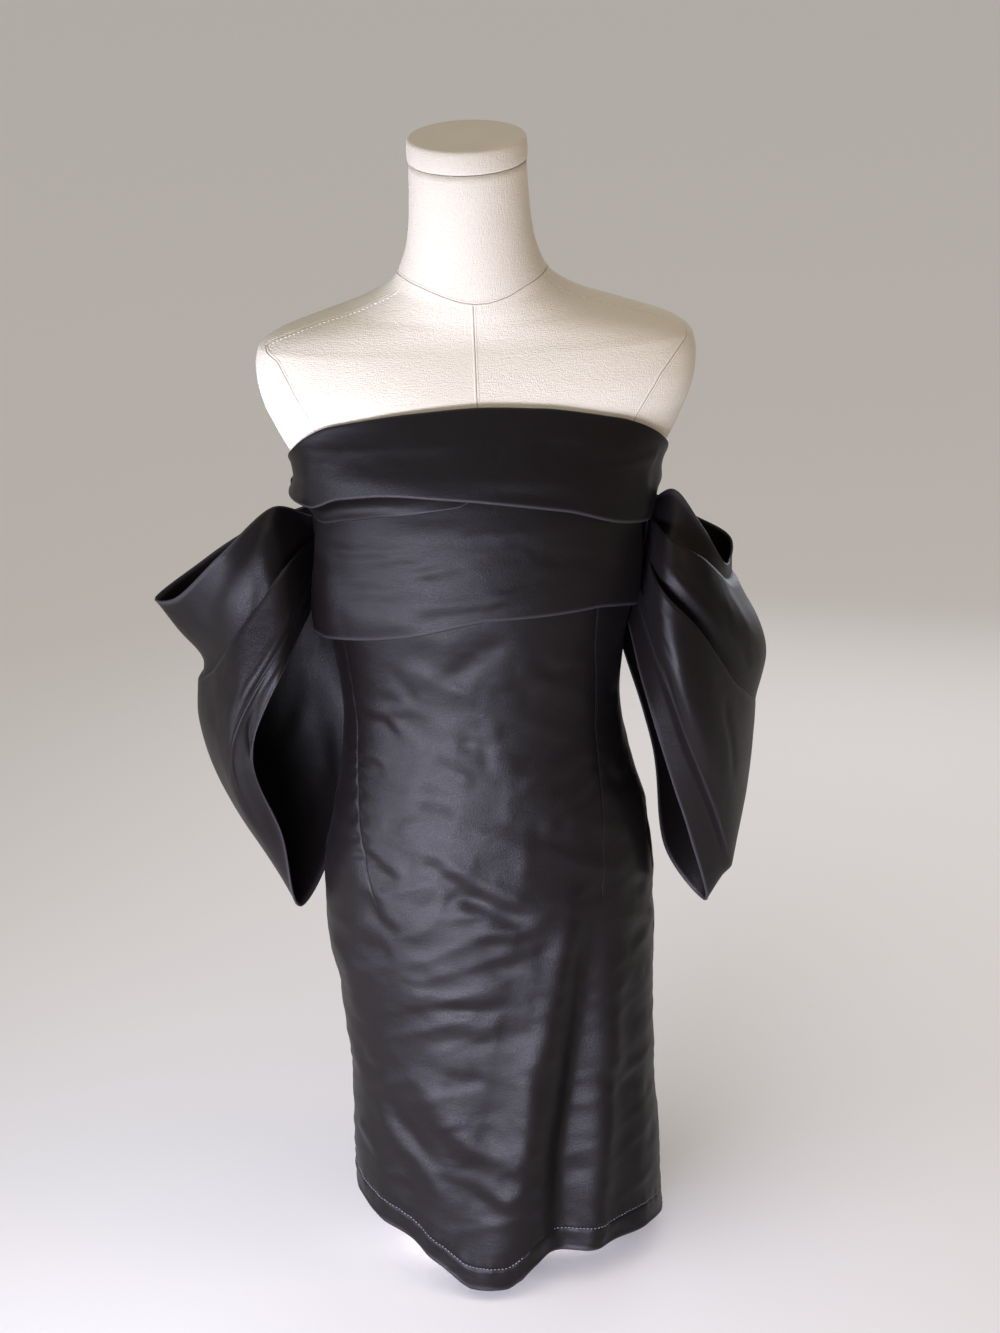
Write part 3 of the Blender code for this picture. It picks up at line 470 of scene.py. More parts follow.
RIGHT_SLEEVE_CREASES = (
    # kind, width, depth, (share, row) places
    ("dip", 0.010, -0.0012, ((0.10, 0.4), (0.22, 0.6), (0.34, 0.8))),
    ("turn", 0.009, 0.0014, ((0.14, 2.7), (0.25, 3.0), (0.36, 3.3))),
    ("dip", 0.006, -0.0016, ((0.30, 2.9), (0.36, 3.2), (0.44, 3.5))),
    ("dip", 0.006, -0.0012, ((0.34, 5.4), (0.40, 5.8), (0.44, 6.3))),
    ("dip", 0.018, 0.0020, ((0.16, 6.2), (0.27, 6.4), (0.37, 6.6))),
    ("dip", 0.010, -0.0012, ((0.12, 6.8), (0.24, 7.0), (0.36, 7.0))),
    ("turn", 0.010, 0.0014, ((0.60, 2.4), (0.72, 2.8), (0.86, 3.0))),
    ("dip", 0.012, -0.0018, ((0.58, 5.3), (0.70, 5.8), (0.84, 6.2))),
    ("dip", 0.012, 0.0016, ((0.58, 6.4), (0.68, 6.7), (0.82, 6.8))),
)
# Pleats of each sleeve: the row under the pleat, the row of its edge, and how far the first is tucked
LEFT_PLEATS = ((3, 4, 0.011),)
RIGHT_PLEATS = ((1, 2, 0.009), (4, 5, 0.010), (8, 7, 0.0))

# Small soft dents all over the cloth, by how many, how long, how wide and how deep they are
DENTS_LONG = (0.020, 0.060)
DENTS_WIDE = (0.005, 0.011)
DENTS_DEEP = (0.0002, 0.0007)

NOISE_CELLS = 128
# Crushed satin: lump length along the cloth, lump height up it, how deep, and how far it is turned
SKIRT_CRUMPLE = ((0.090, 0.036, 0.0022, -0.42), (0.050, 0.022, 0.0014, 0.35), (0.024, 0.013, 0.00055, -0.2))
BAND_CRUMPLE = ((0.080, 0.022, 0.0007, 0.05), (0.034, 0.012, 0.00022, 0.0))
SLEEVE_CRUMPLE = ((0.075, 0.050, 0.0016, 0.6), (0.036, 0.024, 0.0005, -0.2))

# The dress form's seams, as places round it
NECK_SEAM = ((-74.7, 0.935), (-49.3, 0.928), (-29.2, 0.921), (-13.6, 0.916), (0.7, 0.9137),
             (14.8, 0.914), (32.2, 0.918), (51.5, 0.926), (82.1, 0.935))
LEFT_SHOULDER_SEAM = ((-73.3, 0.932), (-73.6, 0.923), (-81.7, 0.912), (-85.0, 0.899), (-84.8, 0.890), (-86.3, 0.880))
RIGHT_SHOULDER_SEAM = ((80.8, 0.930), (81.3, 0.917), (86.0, 0.908), (88.6, 0.897), (88.0, 0.888), (87.0, 0.880))
LEFT_PLATE_SEAM = ((-84.4, 0.8796), (-76.5, 0.869), (-72.4, 0.853), (-68.3, 0.835), (-66.0, 0.8226),
                   (-64.6, 0.812), (-63.5, 0.800))
RIGHT_PLATE_SEAM = ((85.4, 0.880), (77.4, 0.8654), (70.3, 0.8457), (65.5, 0.8263), (61.6, 0.808), (60.5, 0.798))
CENTRE_SEAM = ((0.0, 0.913), (0.0, 0.877), (0.0, 0.820))
BACK_NECK_SEAM = ((82.1, 0.935), (120.0, 0.940), (180.0, 0.944), (240.0, 0.940), (285.3, 0.935))
BACK_CENTRE_SEAM = ((180.0, 0.943), (180.0, 0.880), (180.0, 0.770))


def smooth(table, index, place):
    """A smooth curve through a table's column that never swings past its values."""
    places = np.array([row[0] for row in table], float)
    values = np.array([row[index] for row in table], float)
    place = np.clip(np.asarray(place, float), places[0], places[-1])
    rises = np.diff(values) / np.diff(places)
    slopes = np.zeros(len(places))
    for i in range(1, len(places) - 1):
        if rises[i - 1] * rises[i] > 0:
            slopes[i] = 2 * rises[i - 1] * rises[i] / (rises[i - 1] + rises[i])
    i = np.clip(np.searchsorted(places, place, side="right") - 1, 0, len(places) - 2)
    span = np.diff(places)[i]
    t = (place - places[i]) / span
    start = (1 + 2 * t) * (1 - t) ** 2 * values[i] + t * (1 - t) ** 2 * span * slopes[i]
    end = t * t * (3 - 2 * t) * values[i + 1] + t * t * (t - 1) * span * slopes[i + 1]
    return start + end


def ease(share):
    share = np.clip(share, 0.0, 1.0)
    return share * share * (3 - 2 * share)


def reach(angle, left, right, front, back, squareness):
    """Distance from a section's middle to its outline."""
    across = np.sin(np.radians(angle))
    ahead = np.cos(np.radians(angle))
    width = np.where(across > 0, right, left)
    depth = np.where(ahead > 0, front, back)
    total = np.abs(across / width) ** squareness + np.abs(ahead / depth) ** squareness
    return total ** (-1 / squareness)


def form_reach(angle, z):
    half_width, front, back, middle, squareness = [smooth(FORM_SECTIONS, k, z) for k in range(1, 6)]
    return reach(angle, half_width, half_width, front + middle, back - middle, squareness)


def bump(angle, middle, half_angle):
    """1 at the middle, falling softly to 0 at half_angle either side."""
    away = np.clip(np.abs((angle - middle + 180) % 360 - 180) / half_angle, 0, 1)
    return np.cos(np.pi / 2 * away) ** 2


def skirt_fold(angle, z):
    total = 0.0
    for hem_angle, top_angle, top_z, half_angle, height in SKIRT_FOLDS:
        up = np.clip(z / top_z, 0, 1)
        middle = hem_angle + (top_angle - hem_angle) * up
        total = total + height * (1 - ease(up)) * bump(angle, middle, half_angle)
    return total


def cloth_reach(angle, z):
    """The inner face of the dress's panels: its own section, kept off the form."""
    sizes = [smooth(DRESS_SECTIONS, k, z) for k in range(1, 5)]
    own = reach(angle, *sizes, DRESS_SQUARENESS) + skirt_fold(angle, z)
    return np.maximum(own, form_reach(angle, z) + SEAT_GAP)


def panel_outside(angle, z):
    return cloth_reach(angle, z) + PANEL_WALL


def lower_band_inside(angle, z):
    low = smooth(LOWER_BAND, 1, angle)
    down = ease((LOWER_BAND_TOP - z) / (LOWER_BAND_TOP - low))
    return panel_outside(angle, z) + LAYER_GAP + smooth(LOWER_BAND, 2, angle) * down


def lower_band_outside(angle, z):
    return lower_band_inside(angle, z) + BAND_WALL


def under_band_outside(angle, z):
    """What the upper band lies on: the lower band as far as that reaches, and the panel elsewhere."""
    first, last = LOWER_BAND_ENDS
    past_end = np.maximum(np.maximum(first - angle, angle - last), BAND_END_MARGIN) - BAND_END_MARGIN
    covered = 1 - ease(past_end / BAND_END_FADE)
    level = np.minimum(z, LOWER_BAND_TOP)
    stands_out = lower_band_outside(angle, level) - panel_outside(angle, level)
    above = ease((z - LOWER_BAND_TOP - BAND_TOP_MARGIN) / BAND_TOP_FADE)
    return panel_outside(angle, z) + stands_out * covered * (1 - above)


def upper_band_outside(angle, z, top, fold):
    down = ease((top - z) / (top - fold))
    layer = under_band_outside(angle, z) + LAYER_GAP
    flared = panel_outside(angle, z) + LAYER_GAP + smooth(UPPER_BAND, 3, angle) * down
    return np.maximum(layer, flared) + BAND_WALL


def points_at(angle, radius, z):
    turn = np.radians(angle)
    return np.stack([radius * np.sin(turn), -radius * np.cos(turn), z + 0 * radius], axis=-1)


def line_relief(u, v, kind, width, depth, places):
    """One crease over the cloth's own flat plane: a dip or ridge, or a turn from ridge to dip."""
    places = np.array(places, float)
    steps = np.diff(places, axis=0)
    lengths = np.linalg.norm(steps, axis=1)
    best = np.full(u.shape, 1e9)
    side = np.zeros(u.shape)
    along = np.zeros(u.shape)
    done = 0.0
    for start, step, length in zip(places, steps, lengths):
        du, dv = u - start[0], v - start[1]
        share = np.clip((du * step[0] + dv * step[1]) / length ** 2, 0, 1)
        off_u, off_v = du - share * step[0], dv - share * step[1]
        gap = np.hypot(off_u, off_v)
        closer = gap < best
        cross = (step[0] * dv - step[1] * du) / length
        best = np.where(closer, gap, best)
        side = np.where(closer, cross, side)
        along = np.where(closer, done + share * length, along)
        done += length
    fade = ease(along / done / 0.3) * ease((1 - along / done) / 0.3)
    near = np.exp(-(best / width) ** 2)
    if kind == "turn":
        return depth * fade * near * 1.7 * side / width
    return depth * fade * near


def relief(u, v, creases):
    total = np.zeros(u.shape)
    for kind, width, depth, places in creases:
        total += line_relief(u, v, kind, width, depth, places)
    return total


def flat_places(creases):
    """Creases given by angle and height, in metres along the cloth."""
    scale = math.radians(BODY_RADIUS)
    return [(kind, width, depth, [(angle * scale, z) for angle, z in places])
            for kind, width, depth, places in creases]


def dents(seed, count, low, high, slant=0.35, strength=1.0):
    """Small soft creases scattered over a patch, mostly level, with a fixed seed."""
    random = np.random.default_rng(seed)
    made = []
    for _ in range(count):
        middle = random.uniform(low, high)
        length = random.uniform(*DENTS_LONG)
        turn = random.normal(0, slant)
        half = np.array((math.cos(turn), math.sin(turn))) * length / 2
        bend = np.array((-half[1], half[0])) * random.uniform(-0.35, 0.35)
        depth = random.uniform(*DENTS_DEEP) * random.choice((-1, 1)) * strength
        kind = "turn" if random.random() < 0.5 else "dip"
        width = random.uniform(*DENTS_WIDE)
        made.append((kind, width, depth, (middle - half, middle + bend, middle + half)))
    return made


def soft_noise(u, v, seed):
    """Smooth random heights between -1 and 1, one lump for each unit of u and v."""
    lattice = np.random.default_rng(seed).uniform(-1, 1, (NOISE_CELLS, NOISE_CELLS))
    i, j = np.floor(u).astype(int), np.floor(v).astype(int)
    s, t = u - i, v - j
    s, t = s * s * s * (s * (6 * s - 15) + 10), t * t * t * (t * (6 * t - 15) + 10)
    i, j = i % NOISE_CELLS, j % NOISE_CELLS
    i_next, j_next = (i + 1) % NOISE_CELLS, (j + 1) % NOISE_CELLS
    low = lattice[i, j] * (1 - s) + lattice[i_next, j] * s
    high = lattice[i, j_next] * (1 - s) + lattice[i_next, j_next] * s
    return low * (1 - t) + high * t


def crumple(u, v, seed, sizes):
    """Crushed satin: soft lumps that meet in narrow creases, in several sizes."""
    total = np.zeros(np.shape(u))
    for k, (across, up, height, turn) in enumerate(sizes):
        along = u * math.cos(turn) + v * math.sin(turn)
        over = v * math.cos(turn) - u * math.sin(turn)
        lump = soft_noise(along / across + 40, over / up + 40, seed + k)
        total += height * (0.5 - np.sqrt(lump * lump + 0.030))
    return total


def pucker_relief(angle, z, dart_angle, side):
    total = np.zeros(angle.shape)
    gap = (angle - dart_angle) * math.radians(BODY_RADIUS)
    for pucker_side, low, high, reach_out, depth, period in PUCKERS:
        if pucker_side != side:
            continue
        within = ease((z - low) / 0.02) * ease((high - z) / 0.02)
        wave = np.sin(2 * np.pi * z / period + 2.2 * np.sin(z * 61) + 60 * np.abs(gap))
        beside = np.exp(-(gap / reach_out) ** 2) * (1 - 0.95 * np.exp(-(gap / 0.0026) ** 2))
        total += depth * within * wave * beside
    return total


def dart_relief(angle, z):
    """The darts' seams: a fine stitched groove and the puckers it pulls."""
    low, high = DART_ENDS
    within = ease((z - low) / 0.012) * ease((high - z) / 0.03)
    total = np.zeros(angle.shape)
    for dart, side in ((LEFT_DART, -1), (RIGHT_DART, 1)):
        line = smooth(dart, 1, z)
        gap = (angle - line) * math.radians(BODY_RADIUS)
        total -= 0.0007 * within * np.exp(-(gap / 0.0008) ** 2)
        total -= 0.0004 * within * np.exp(-(gap / 0.0070) ** 2)
        total += pucker_relief(angle, z, line, side)
    return total


def calm(z):
    """How crushed the cloth is: less over the waist and above it."""
    return 1 - 0.45 * ease((z - 0.42) / 0.08)


def hem_relief(angle, above):
    """The hem's turned depth, its stitched groove and the slight pull of the stitches."""
    total = -0.0005 * np.exp(-((above - HEM_DEPTH) / 0.0012) ** 2)
    total += 0.0005 * ease((HEM_DEPTH - above) / 0.004)
    pull = np.sin(angle * 0.83) * np.sin(angle * 0.31 + 1.3)
    return total + 0.0006 * pull * np.exp(-((above - HEM_DEPTH) / 0.009) ** 2)


def edge_wall(rows, columns, row_gap, column_gap, edges="both"):
    """The shell's thickness: thin, and rounded up to a folded edge's along the borders."""
    away = np.full((rows, columns), 1.0)
    along_rows = np.minimum.accumulate(np.ones(rows))
    steps = np.arange(rows)[:, None] * row_gap
    if edges in ("both", "first"):
        away = np.minimum(away, steps / HEM_FADE)
    if edges in ("both", "last"):
        away = np.minimum(away, steps[::-1] / HEM_FADE)
    return SATIN_WALL + (HEM_WALL - SATIN_WALL) * (1 - ease(away))


def grid_normals(grid):
    along = np.gradient(grid, axis=1)
    down = np.gradient(grid, axis=0)
    normals = np.cross(along, down)
    return normals / np.maximum(np.linalg.norm(normals, axis=2, keepdims=True), 1e-12)


def edge_ring(rows, columns):
    border = [(0, j) for j in range(columns)]
    border += [(i, columns - 1) for i in range(1, rows)]
    border += [(rows - 1, j) for j in range(columns - 2, -1, -1)]
    border += [(i, 0) for i in range(rows - 2, 0, -1)]
    return np.array([i * columns + j for i, j in border])


def unit(vectors):
    return vectors / np.maximum(np.linalg.norm(vectors, axis=-1, keepdims=True), 1e-12)


def grid_quads(rows, columns, start, flipped):
    a = (np.arange(rows - 1)[:, None] * columns + np.arange(columns - 1)).ravel() + start
    quads = np.stack([a, a + 1, a + columns + 1, a + columns], axis=1)
    return quads[:, ::-1] if flipped else quads


def make_mesh(name, points, quads, material):
    mesh = bpy.data.meshes.new(name)
    mesh.from_pydata(points.tolist(), [], [tuple(q) for q in quads.tolist()])
    mesh.validate()
    mesh.shade_smooth()
    piece = bpy.data.objects.new(name, mesh)
    bpy.context.scene.collection.objects.link(piece)
    mesh.materials.append(material)
    return piece


def make_shell(name, middle, wall, material, highlight_share=0.0):
    """A closed thin shell about a grid of points, with a rounded rim; the last argument says how much painted
    highlight each place gets, a paler colour where a fold edge would catch the light.
    """
    rows, columns = middle.shape[:2]
    normals = grid_normals(middle)
    half = np.broadcast_to(np.asarray(wall, float), (rows, columns))[..., None] / 2
    outside = (middle + normals * half).reshape(-1, 3)
    inside = (middle - normals * half).reshape(-1, 3)
    away = np.zeros_like(middle)
    away[0] += unit(middle[0] - middle[1])
    away[-1] += unit(middle[-1] - middle[-2])
    away[:, 0] += unit(middle[:, 0] - middle[:, 1])
    away[:, -1] += unit(middle[:, -1] - middle[:, -2])
    ring = edge_ring(rows, columns)
    rim = (middle + unit(away) * half).reshape(-1, 3)[ring]
    points = np.concatenate([outside, inside, rim])
    total = rows * columns
    rim_at = 2 * total + np.arange(len(ring))
    following = np.roll(ring, -1)
    rim_following = np.roll(rim_at, -1)
    quads = [grid_quads(rows, columns, 0, False), grid_quads(rows, columns, total, True)]
    quads.append(np.stack([following, ring, rim_at, rim_following], axis=1))
    quads.append(np.stack([rim_following, rim_at, ring + total, following + total], axis=1))
    piece = make_mesh(name, points, np.concatenate(quads), material)
    # painted highlight: each place's share of the paler fold-edge colour, stored on the points for the satin to read
    highlight_values = (np.zeros((rows, columns)) + highlight_share).ravel()
    attribute = piece.data.attributes.new("painted_highlight", "FLOAT", "POINT")
    attribute.data.foreach_set("value", np.concatenate([highlight_values, highlight_values, highlight_values[ring]]))
    return piece


def row_highlights(rows, columns, marks):
    """Painted highlight along chosen rows, where fold edges would catch the light: each mark is a row, how many rows
    it spreads over and how strong it is.
    """
    places = np.arange(rows)[:, None] * np.ones(columns)
    total = np.zeros((rows, columns))
    for row, width, strength in marks:
        total += strength * np.exp(-((places - row) / width) ** 2)
    return np.minimum(total, 1)


def edge_height(table, angle):
    return smooth(table, 1, angle)


def panel_height(angle, share):
    low = edge_height(HEM, angle)
    return low + (edge_height(NECKLINE, angle) - low) * share


def hem_shares(rows):
    """Heights of a panel's rows as shares of the whole, closer together in the hem."""
    close = np.linspace(0, HEM_SHARE, HEM_ROWS, endpoint=False)
    return np.concatenate([close, np.linspace(HEM_SHARE, 1, rows - HEM_ROWS)])


def front_column_angles(z, left=LEFT_SEAM, right=RIGHT_SEAM):
    """The front's columns at a grid of heights, one height for each column: some follow the darts."""
    seam = math.degrees(SEAM_GAP / 2 / BODY_RADIUS)
    half = -DART_OFFSETS[0]
    before, between, after = FRONT_SPANS
    shares = np.concatenate([
        np.arange(before) / before, np.zeros(len(DART_OFFSETS)), np.arange(1, between) / between,
        np.zeros(len(DART_OFFSETS)), np.arange(1, after + 1) / after])
    spans = np.repeat([0, 1, 2, 3, 4], [before, len(DART_OFFSETS), between - 1, len(DART_OFFSETS), after])
    offsets = np.zeros(len(shares))
    offsets[spans == 1] = DART_OFFSETS
    offsets[spans == 3] = DART_OFFSETS
    if z is None:
        return len(shares)
    left_dart = smooth(LEFT_DART, 1, z)
    right_dart = smooth(RIGHT_DART, 1, z)
    starts = [left + seam + 0 * z, left_dart, left_dart + half, right_dart, right_dart + half]
    ends = [left_dart - half, left_dart, right_dart - half, right_dart, right - seam + 0 * z]
    angle = np.zeros(np.shape(z))
    for k, (start, end) in enumerate(zip(starts, ends)):
        angle = np.where(spans == k, start + (end - start) * shares + offsets, angle)
    return angle


def make_front(satin):
    """The whole front: darts, hem, the deep fold of the skirt and its creases."""
    columns = front_column_angles(None)
    shares = hem_shares(FRONT_ROWS)[:, None] * np.ones(columns)
    angle = front_column_angles(panel_height(0.0, shares))
    for _ in range(4):
        angle = front_column_angles(panel_height(angle, shares))
    z = panel_height(angle, shares)
    u = angle * math.radians(BODY_RADIUS)
    above = z - edge_height(HEM, angle)
    creases = flat_places(FRONT_CREASES) + flat_places(DEEP_FOLD)
    creases += dents(11, 70, (-0.185, 0.09), (0.19, 0.61))
    free = ease((0.655 - z) / 0.03)
    moved = (relief(u, z, creases) + crumple(u, z, 61, SKIRT_CRUMPLE) * calm(z)) * free
    moved = moved + dart_relief(angle, z) + hem_relief(angle, above)
    radius = panel_outside(angle, z) - SATIN_WALL / 2 + moved
    radius = np.maximum(radius, form_reach(angle, z) + SATIN_WALL)
    wall = edge_wall(FRONT_ROWS, columns, 0.0013, 0, "first")
    # painted highlight along the hem's folded edge
    highlight_share = row_highlights(FRONT_ROWS, columns, ((0, 1.0, 0.35),))
    piece = make_shell("front_cloth", points_at(angle, radius, z), wall, satin, highlight_share)
    return dress_piece(piece, "front_panel")


def make_back(name, node, start, end, seed, satin):
    seam = math.degrees(SEAM_GAP / 2 / BODY_RADIUS)
    columns = np.linspace(start + seam, end - seam, BACK_FINE_COLUMNS)
    shares = hem_shares(BACK_ROWS)[:, None] * np.ones(len(columns))
    angle = columns[None, :] * np.ones((BACK_ROWS, 1))
    z = panel_height(angle, shares)
    u = angle * math.radians(BODY_RADIUS)
    above = z - edge_height(HEM, angle)
    scale = math.radians(BODY_RADIUS)
    creases = flat_places(BACK_CREASES)
    creases += dents(seed, 36, (start * scale, 0.09), (end * scale, 0.66))
    free = ease((0.70 - z) / 0.03)
    seam_gap = np.minimum(angle - start, end - angle) * scale
    seam_dip = -0.0009 * np.exp(-(seam_gap / 0.0030) ** 2)
    moved = (relief(u, z, creases) + crumple(u, z, seed, SKIRT_CRUMPLE) * calm(z)) * free
    moved = moved + hem_relief(angle, above) + seam_dip
    radius = panel_outside(angle, z) - SATIN_WALL / 2 + moved
    radius = np.maximum(radius, form_reach(angle, z) + SATIN_WALL)
    wall = edge_wall(BACK_ROWS, len(columns), 0.0013, 0, "first")
    # painted highlight along the hem's folded edge
    highlight_share = row_highlights(BACK_ROWS, len(columns), ((0, 1.0, 0.35),))
    piece = make_shell(name, points_at(angle, radius, z), wall, satin, highlight_share)
    return dress_piece(piece, node)


def rolled_edge(radius, z, roll, tuck, steps=6):
    """Rows that turn a band's lower edge under: a half round, then a short way up behind."""
    rows = []
    for k in range(steps + 1):
        turn = math.pi * k / steps
        rows.append((radius - roll + roll * math.cos(turn), z + roll - roll * math.sin(turn)))
    rows.append((radius - 2 * roll, z + roll + tuck * 0.5))
    rows.append((radius - 2 * roll, z + roll + tuck))
    return rows


def band_grid(angle, rows):
    """A band's middle surface, from its tucked edge to its top."""
    radius = np.array([row[0] for row in rows])
    z = np.array([row[1] for row in rows])
    return points_at(angle[None, :] * np.ones((len(rows), 1)), radius, z)


def make_lower_band(satin):
    first, last = LOWER_BAND_ENDS
    angle = np.linspace(first, last, 190)
    low = smooth(LOWER_BAND, 1, angle)
    creases = flat_places(LOWER_BAND_CREASES) + dents(31, 14, (-0.14, 0.650), (0.13, 0.73), 0.12, 0.45)
    roll = 0.0011
    outer = []
    for share in np.linspace(0, 1, 56):
        z = low + roll + (LOWER_BAND_TOP - low - roll) * share
        u = angle * math.radians(BODY_RADIUS)
        moved = (relief(u, z, creases) + crumple(u, z, 71, BAND_CRUMPLE)) * ease((z - low) / 0.012)
        outer.append((lower_band_outside(angle, z) - SATIN_WALL / 2 + moved, z))
    under = rolled_edge(outer[0][0], low, roll, 0.012)[::-1]
    rows = under + outer[1:]
    ends = band_ends(band_grid(angle, rows), 0.0065)
    # painted highlight along the band's rolled lower edge
    highlight_share = row_highlights(*ends.shape[:2], ((len(under) - 1.5, 0.7, 0.55),))
    piece = make_shell("lower_band_cloth", ends, SATIN_WALL, satin, highlight_share)
    return dress_piece(piece, "lower_band")


def band_ends(grid, depth, steps=5):
    """Turns a band's two ends back towards the body in a soft round."""
    flat = grid * (1, 1, 0)
    inwards = -unit(flat)
    grids = []
    for side in (0, -1):
        edge = grid[:, side]
        neighbour = grid[:, 1 if side == 0 else -2]
        out = unit((edge - neighbour) * (1, 1, 0))
        turned = []
        for k in range(1, steps + 1):
            turn = math.pi / 2 * k / steps
            turned.append(edge + depth * (out * math.sin(turn) + inwards[:, side] * (1 - math.cos(turn))))
        grids.append(np.stack(turned, axis=1))
    return np.concatenate([grids[0][:, ::-1], grid, grids[1]], axis=1)


def make_upper_band(satin):
    """Folded cloth round the top edge, all round, with its lower edge rolled under."""
    angle = np.linspace(-BACK_SEAM + 0.06, BACK_SEAM - 0.06, 420)
    fold = smooth(UPPER_BAND, 1, angle)
    top = edge_height(NECKLINE, angle) + UPPER_BAND_RISE
    creases = flat_places(UPPER_BAND_CREASES)
    creases += dents(41, 14, (-0.14, 0.755), (0.14, 0.80), 0.15, 0.6)
    creases += dents(42, 12, (0.20, 0.735), (0.38, 0.77), 0.2, 0.4)
    creases += dents(43, 12, (-0.38, 0.735), (-0.20, 0.77), 0.2, 0.3)
    roll = 0.0012
    outer = []
    for share in np.linspace(0, 1, 46):
        z = fold + roll + (top - fold - roll) * share
        u = angle * math.radians(BODY_RADIUS)
        moved = relief(u, z, creases) + crumple(u, z, 81, BAND_CRUMPLE)
        moved = moved * ease((z - fold) / 0.012) * ease((top - z) / 0.010)
        outer.append((upper_band_outside(angle, z, top, fold) - SATIN_WALL / 2 + moved, z))
    under = rolled_edge(outer[0][0], fold, roll, 0.010)[::-1]
    over = []
    top_radius = outer[-1][0]
    for k in range(1, 7):
        turn = math.pi * k / 6
        over.append((top_radius - 0.0016 * (1 - math.cos(turn)), top + 0.0014 * math.sin(turn)))
    over.append((top_radius - 0.0034, top - 0.006))
    rows = under + outer[1:] + over
    # painted highlight along the rolled lower edge and, fainter, along the turned top
    marks = ((len(under) - 1.5, 0.7, 0.7), (len(rows) - 6, 1.2, 0.15))
    highlight_share = row_highlights(len(rows), len(angle), marks)
    piece = make_shell("upper_band_cloth", band_grid(angle, rows), SATIN_WALL, satin, highlight_share)
    return dress_piece(piece, "upper_band")


def make_under_fold(satin):
    """The upper band's under layer, which shows as a crescent below the fold on the left."""
    angle = np.linspace(-79.0, 4.0, 130)
    fold = smooth(UPPER_BAND, 1, angle)
    drop = smooth(UPPER_BAND, 2, angle)
    low = fold - drop + 0.005 * ease((angle + 10) / 8)
    roll = 0.0009
    rows = []
    for share in np.linspace(0, 1, 14):
        z = low + roll + (fold + 0.010 - low - roll) * share
        bulge = 0.0030 * math.sin(math.pi * min(1, share * 1.6)) * ease((-12.0 - angle) / 40)
        lift = 0.0012 + 0.0010 * ease(-angle / 20)
        rows.append((under_band_outside(angle, z) + lift + bulge - 0.0010 * share, z))
    under = rolled_edge(rows[0][0], low, roll, 0.006)[::-1]
    # painted highlight along the under layer's rolled edge
    highlight_share = row_highlights(len(under) + len(rows) - 1, len(angle), ((len(under) - 1.5, 0.7, 0.35),))
    piece = make_shell("upper_band_under_layer", band_grid(angle, under + rows[1:]), SATIN_WALL, satin, highlight_share)
    return dress_piece(piece, None)


def through(stations, count):
    """Points evenly spaced along a smooth curve through the stations."""
    stations = np.array(stations, float)
    padded = np.concatenate([
        [2 * stations[0] - stations[1]], stations, [2 * stations[-1] - stations[-2]]])
    fine = []
    for a, b, c, d in zip(padded, padded[1:], padded[2:], padded[3:]):
        ab = np.linalg.norm(b - a) ** 0.5
        bc = np.linalg.norm(c - b) ** 0.5
        cd = np.linalg.norm(d - c) ** 0.5
        start = (b - a) / ab - (c - a) / (ab + bc) + (c - b) / bc
        end = (c - b) / bc - (d - b) / (bc + cd) + (d - c) / cd
        for t in np.linspace(0, 1, CURVE_STEPS, endpoint=False):
            keep_b = 2 * t ** 3 - 3 * t ** 2 + 1
            keep_c = 3 * t ** 2 - 2 * t ** 3
            fine.append(
                keep_b * b + keep_c * c
                + (t ** 3 - 2 * t ** 2 + t) * bc * start + (t ** 3 - t ** 2) * bc * end)
    fine.append(stations[-1])
    fine = np.array(fine)
    steps = np.linalg.norm(np.diff(fine, axis=0), axis=1)
    along = np.concatenate([[0], np.cumsum(steps)]) / steps.sum()
    places = np.linspace(0, 1, count)
    return np.stack([np.interp(places, along, fine[:, k]) for k in range(3)], axis=1)


def sleeve_lines(table, side):
    stand_off = SLEEVE_WALL / 2 + LAYER_GAP
    lines = []
    for _, _, front, *places, back in table:
        stations = [points_at(front[0], panel_outside(*front) + stand_off, front[1])]
        stations += [(side * out, y, z) for out, y, z in places]
        stations.append(points_at(back[0], panel_outside(*back) + stand_off, back[1]))
        lines.append(through(stations, SLEEVE_FINE_COLUMNS))
    return np.array(lines)


def overlap_pleats(lines, pleats, side):
    """Tucks the cloth in behind each pleat's edge, so that the edge lies over what is above it."""
    lines = lines.copy()
    share = np.linspace(0, 1, lines.shape[1])[:, None]
    held = ease(share / 0.12) * ease((1 - share) / 0.12)
    held = held * (1 - 0.75 * ease((share - 0.26) / 0.14))
    for under, edge, drop in pleats:
        inwards = unit((np.array((side * 0.185, 0.0, 0.0)) - lines[under]) * (1, 1, 0))
        lines[under] += held * (0.004 * inwards - np.array((0, 0, drop)))
        lines[edge] += held * np.array((0, 0, 0.003))
    return lines


def sleeve_surface(lines, sharp_rows):
    """A smooth surface through the sleeve's lines, folded only at the sharp ones; with its row places."""
    steps = np.diff(lines, axis=0)
    lengths = np.maximum(np.linalg.norm(steps, axis=2, keepdims=True), 1e-6)
    rows, places = [], []
    for i in range(len(steps)):
        count = max(3, round(float(lengths[i].mean()) / SLEEVE_ROW_STEP))
        start, end = steps[i], steps[i]
        if i > 0 and i not in sharp_rows:
            start = unit(steps[i - 1] / lengths[i - 1] + steps[i] / lengths[i]) * lengths[i]
        if i + 1 < len(steps) and i + 1 not in sharp_rows:
            end = unit(steps[i] / lengths[i] + steps[i + 1] / lengths[i + 1]) * lengths[i]
        for k in range(count):
            t = k / count
            rows.append(
                (2 * t ** 3 - 3 * t ** 2 + 1) * lines[i] + (3 * t ** 2 - 2 * t ** 3) * lines[i + 1]
                + (t ** 3 - 2 * t ** 2 + t) * start + (t ** 3 - t ** 2) * end)
            places.append(i + t)
    rows.append(lines[-1])
    places.append(len(steps))
    return np.array(rows), np.array(places)


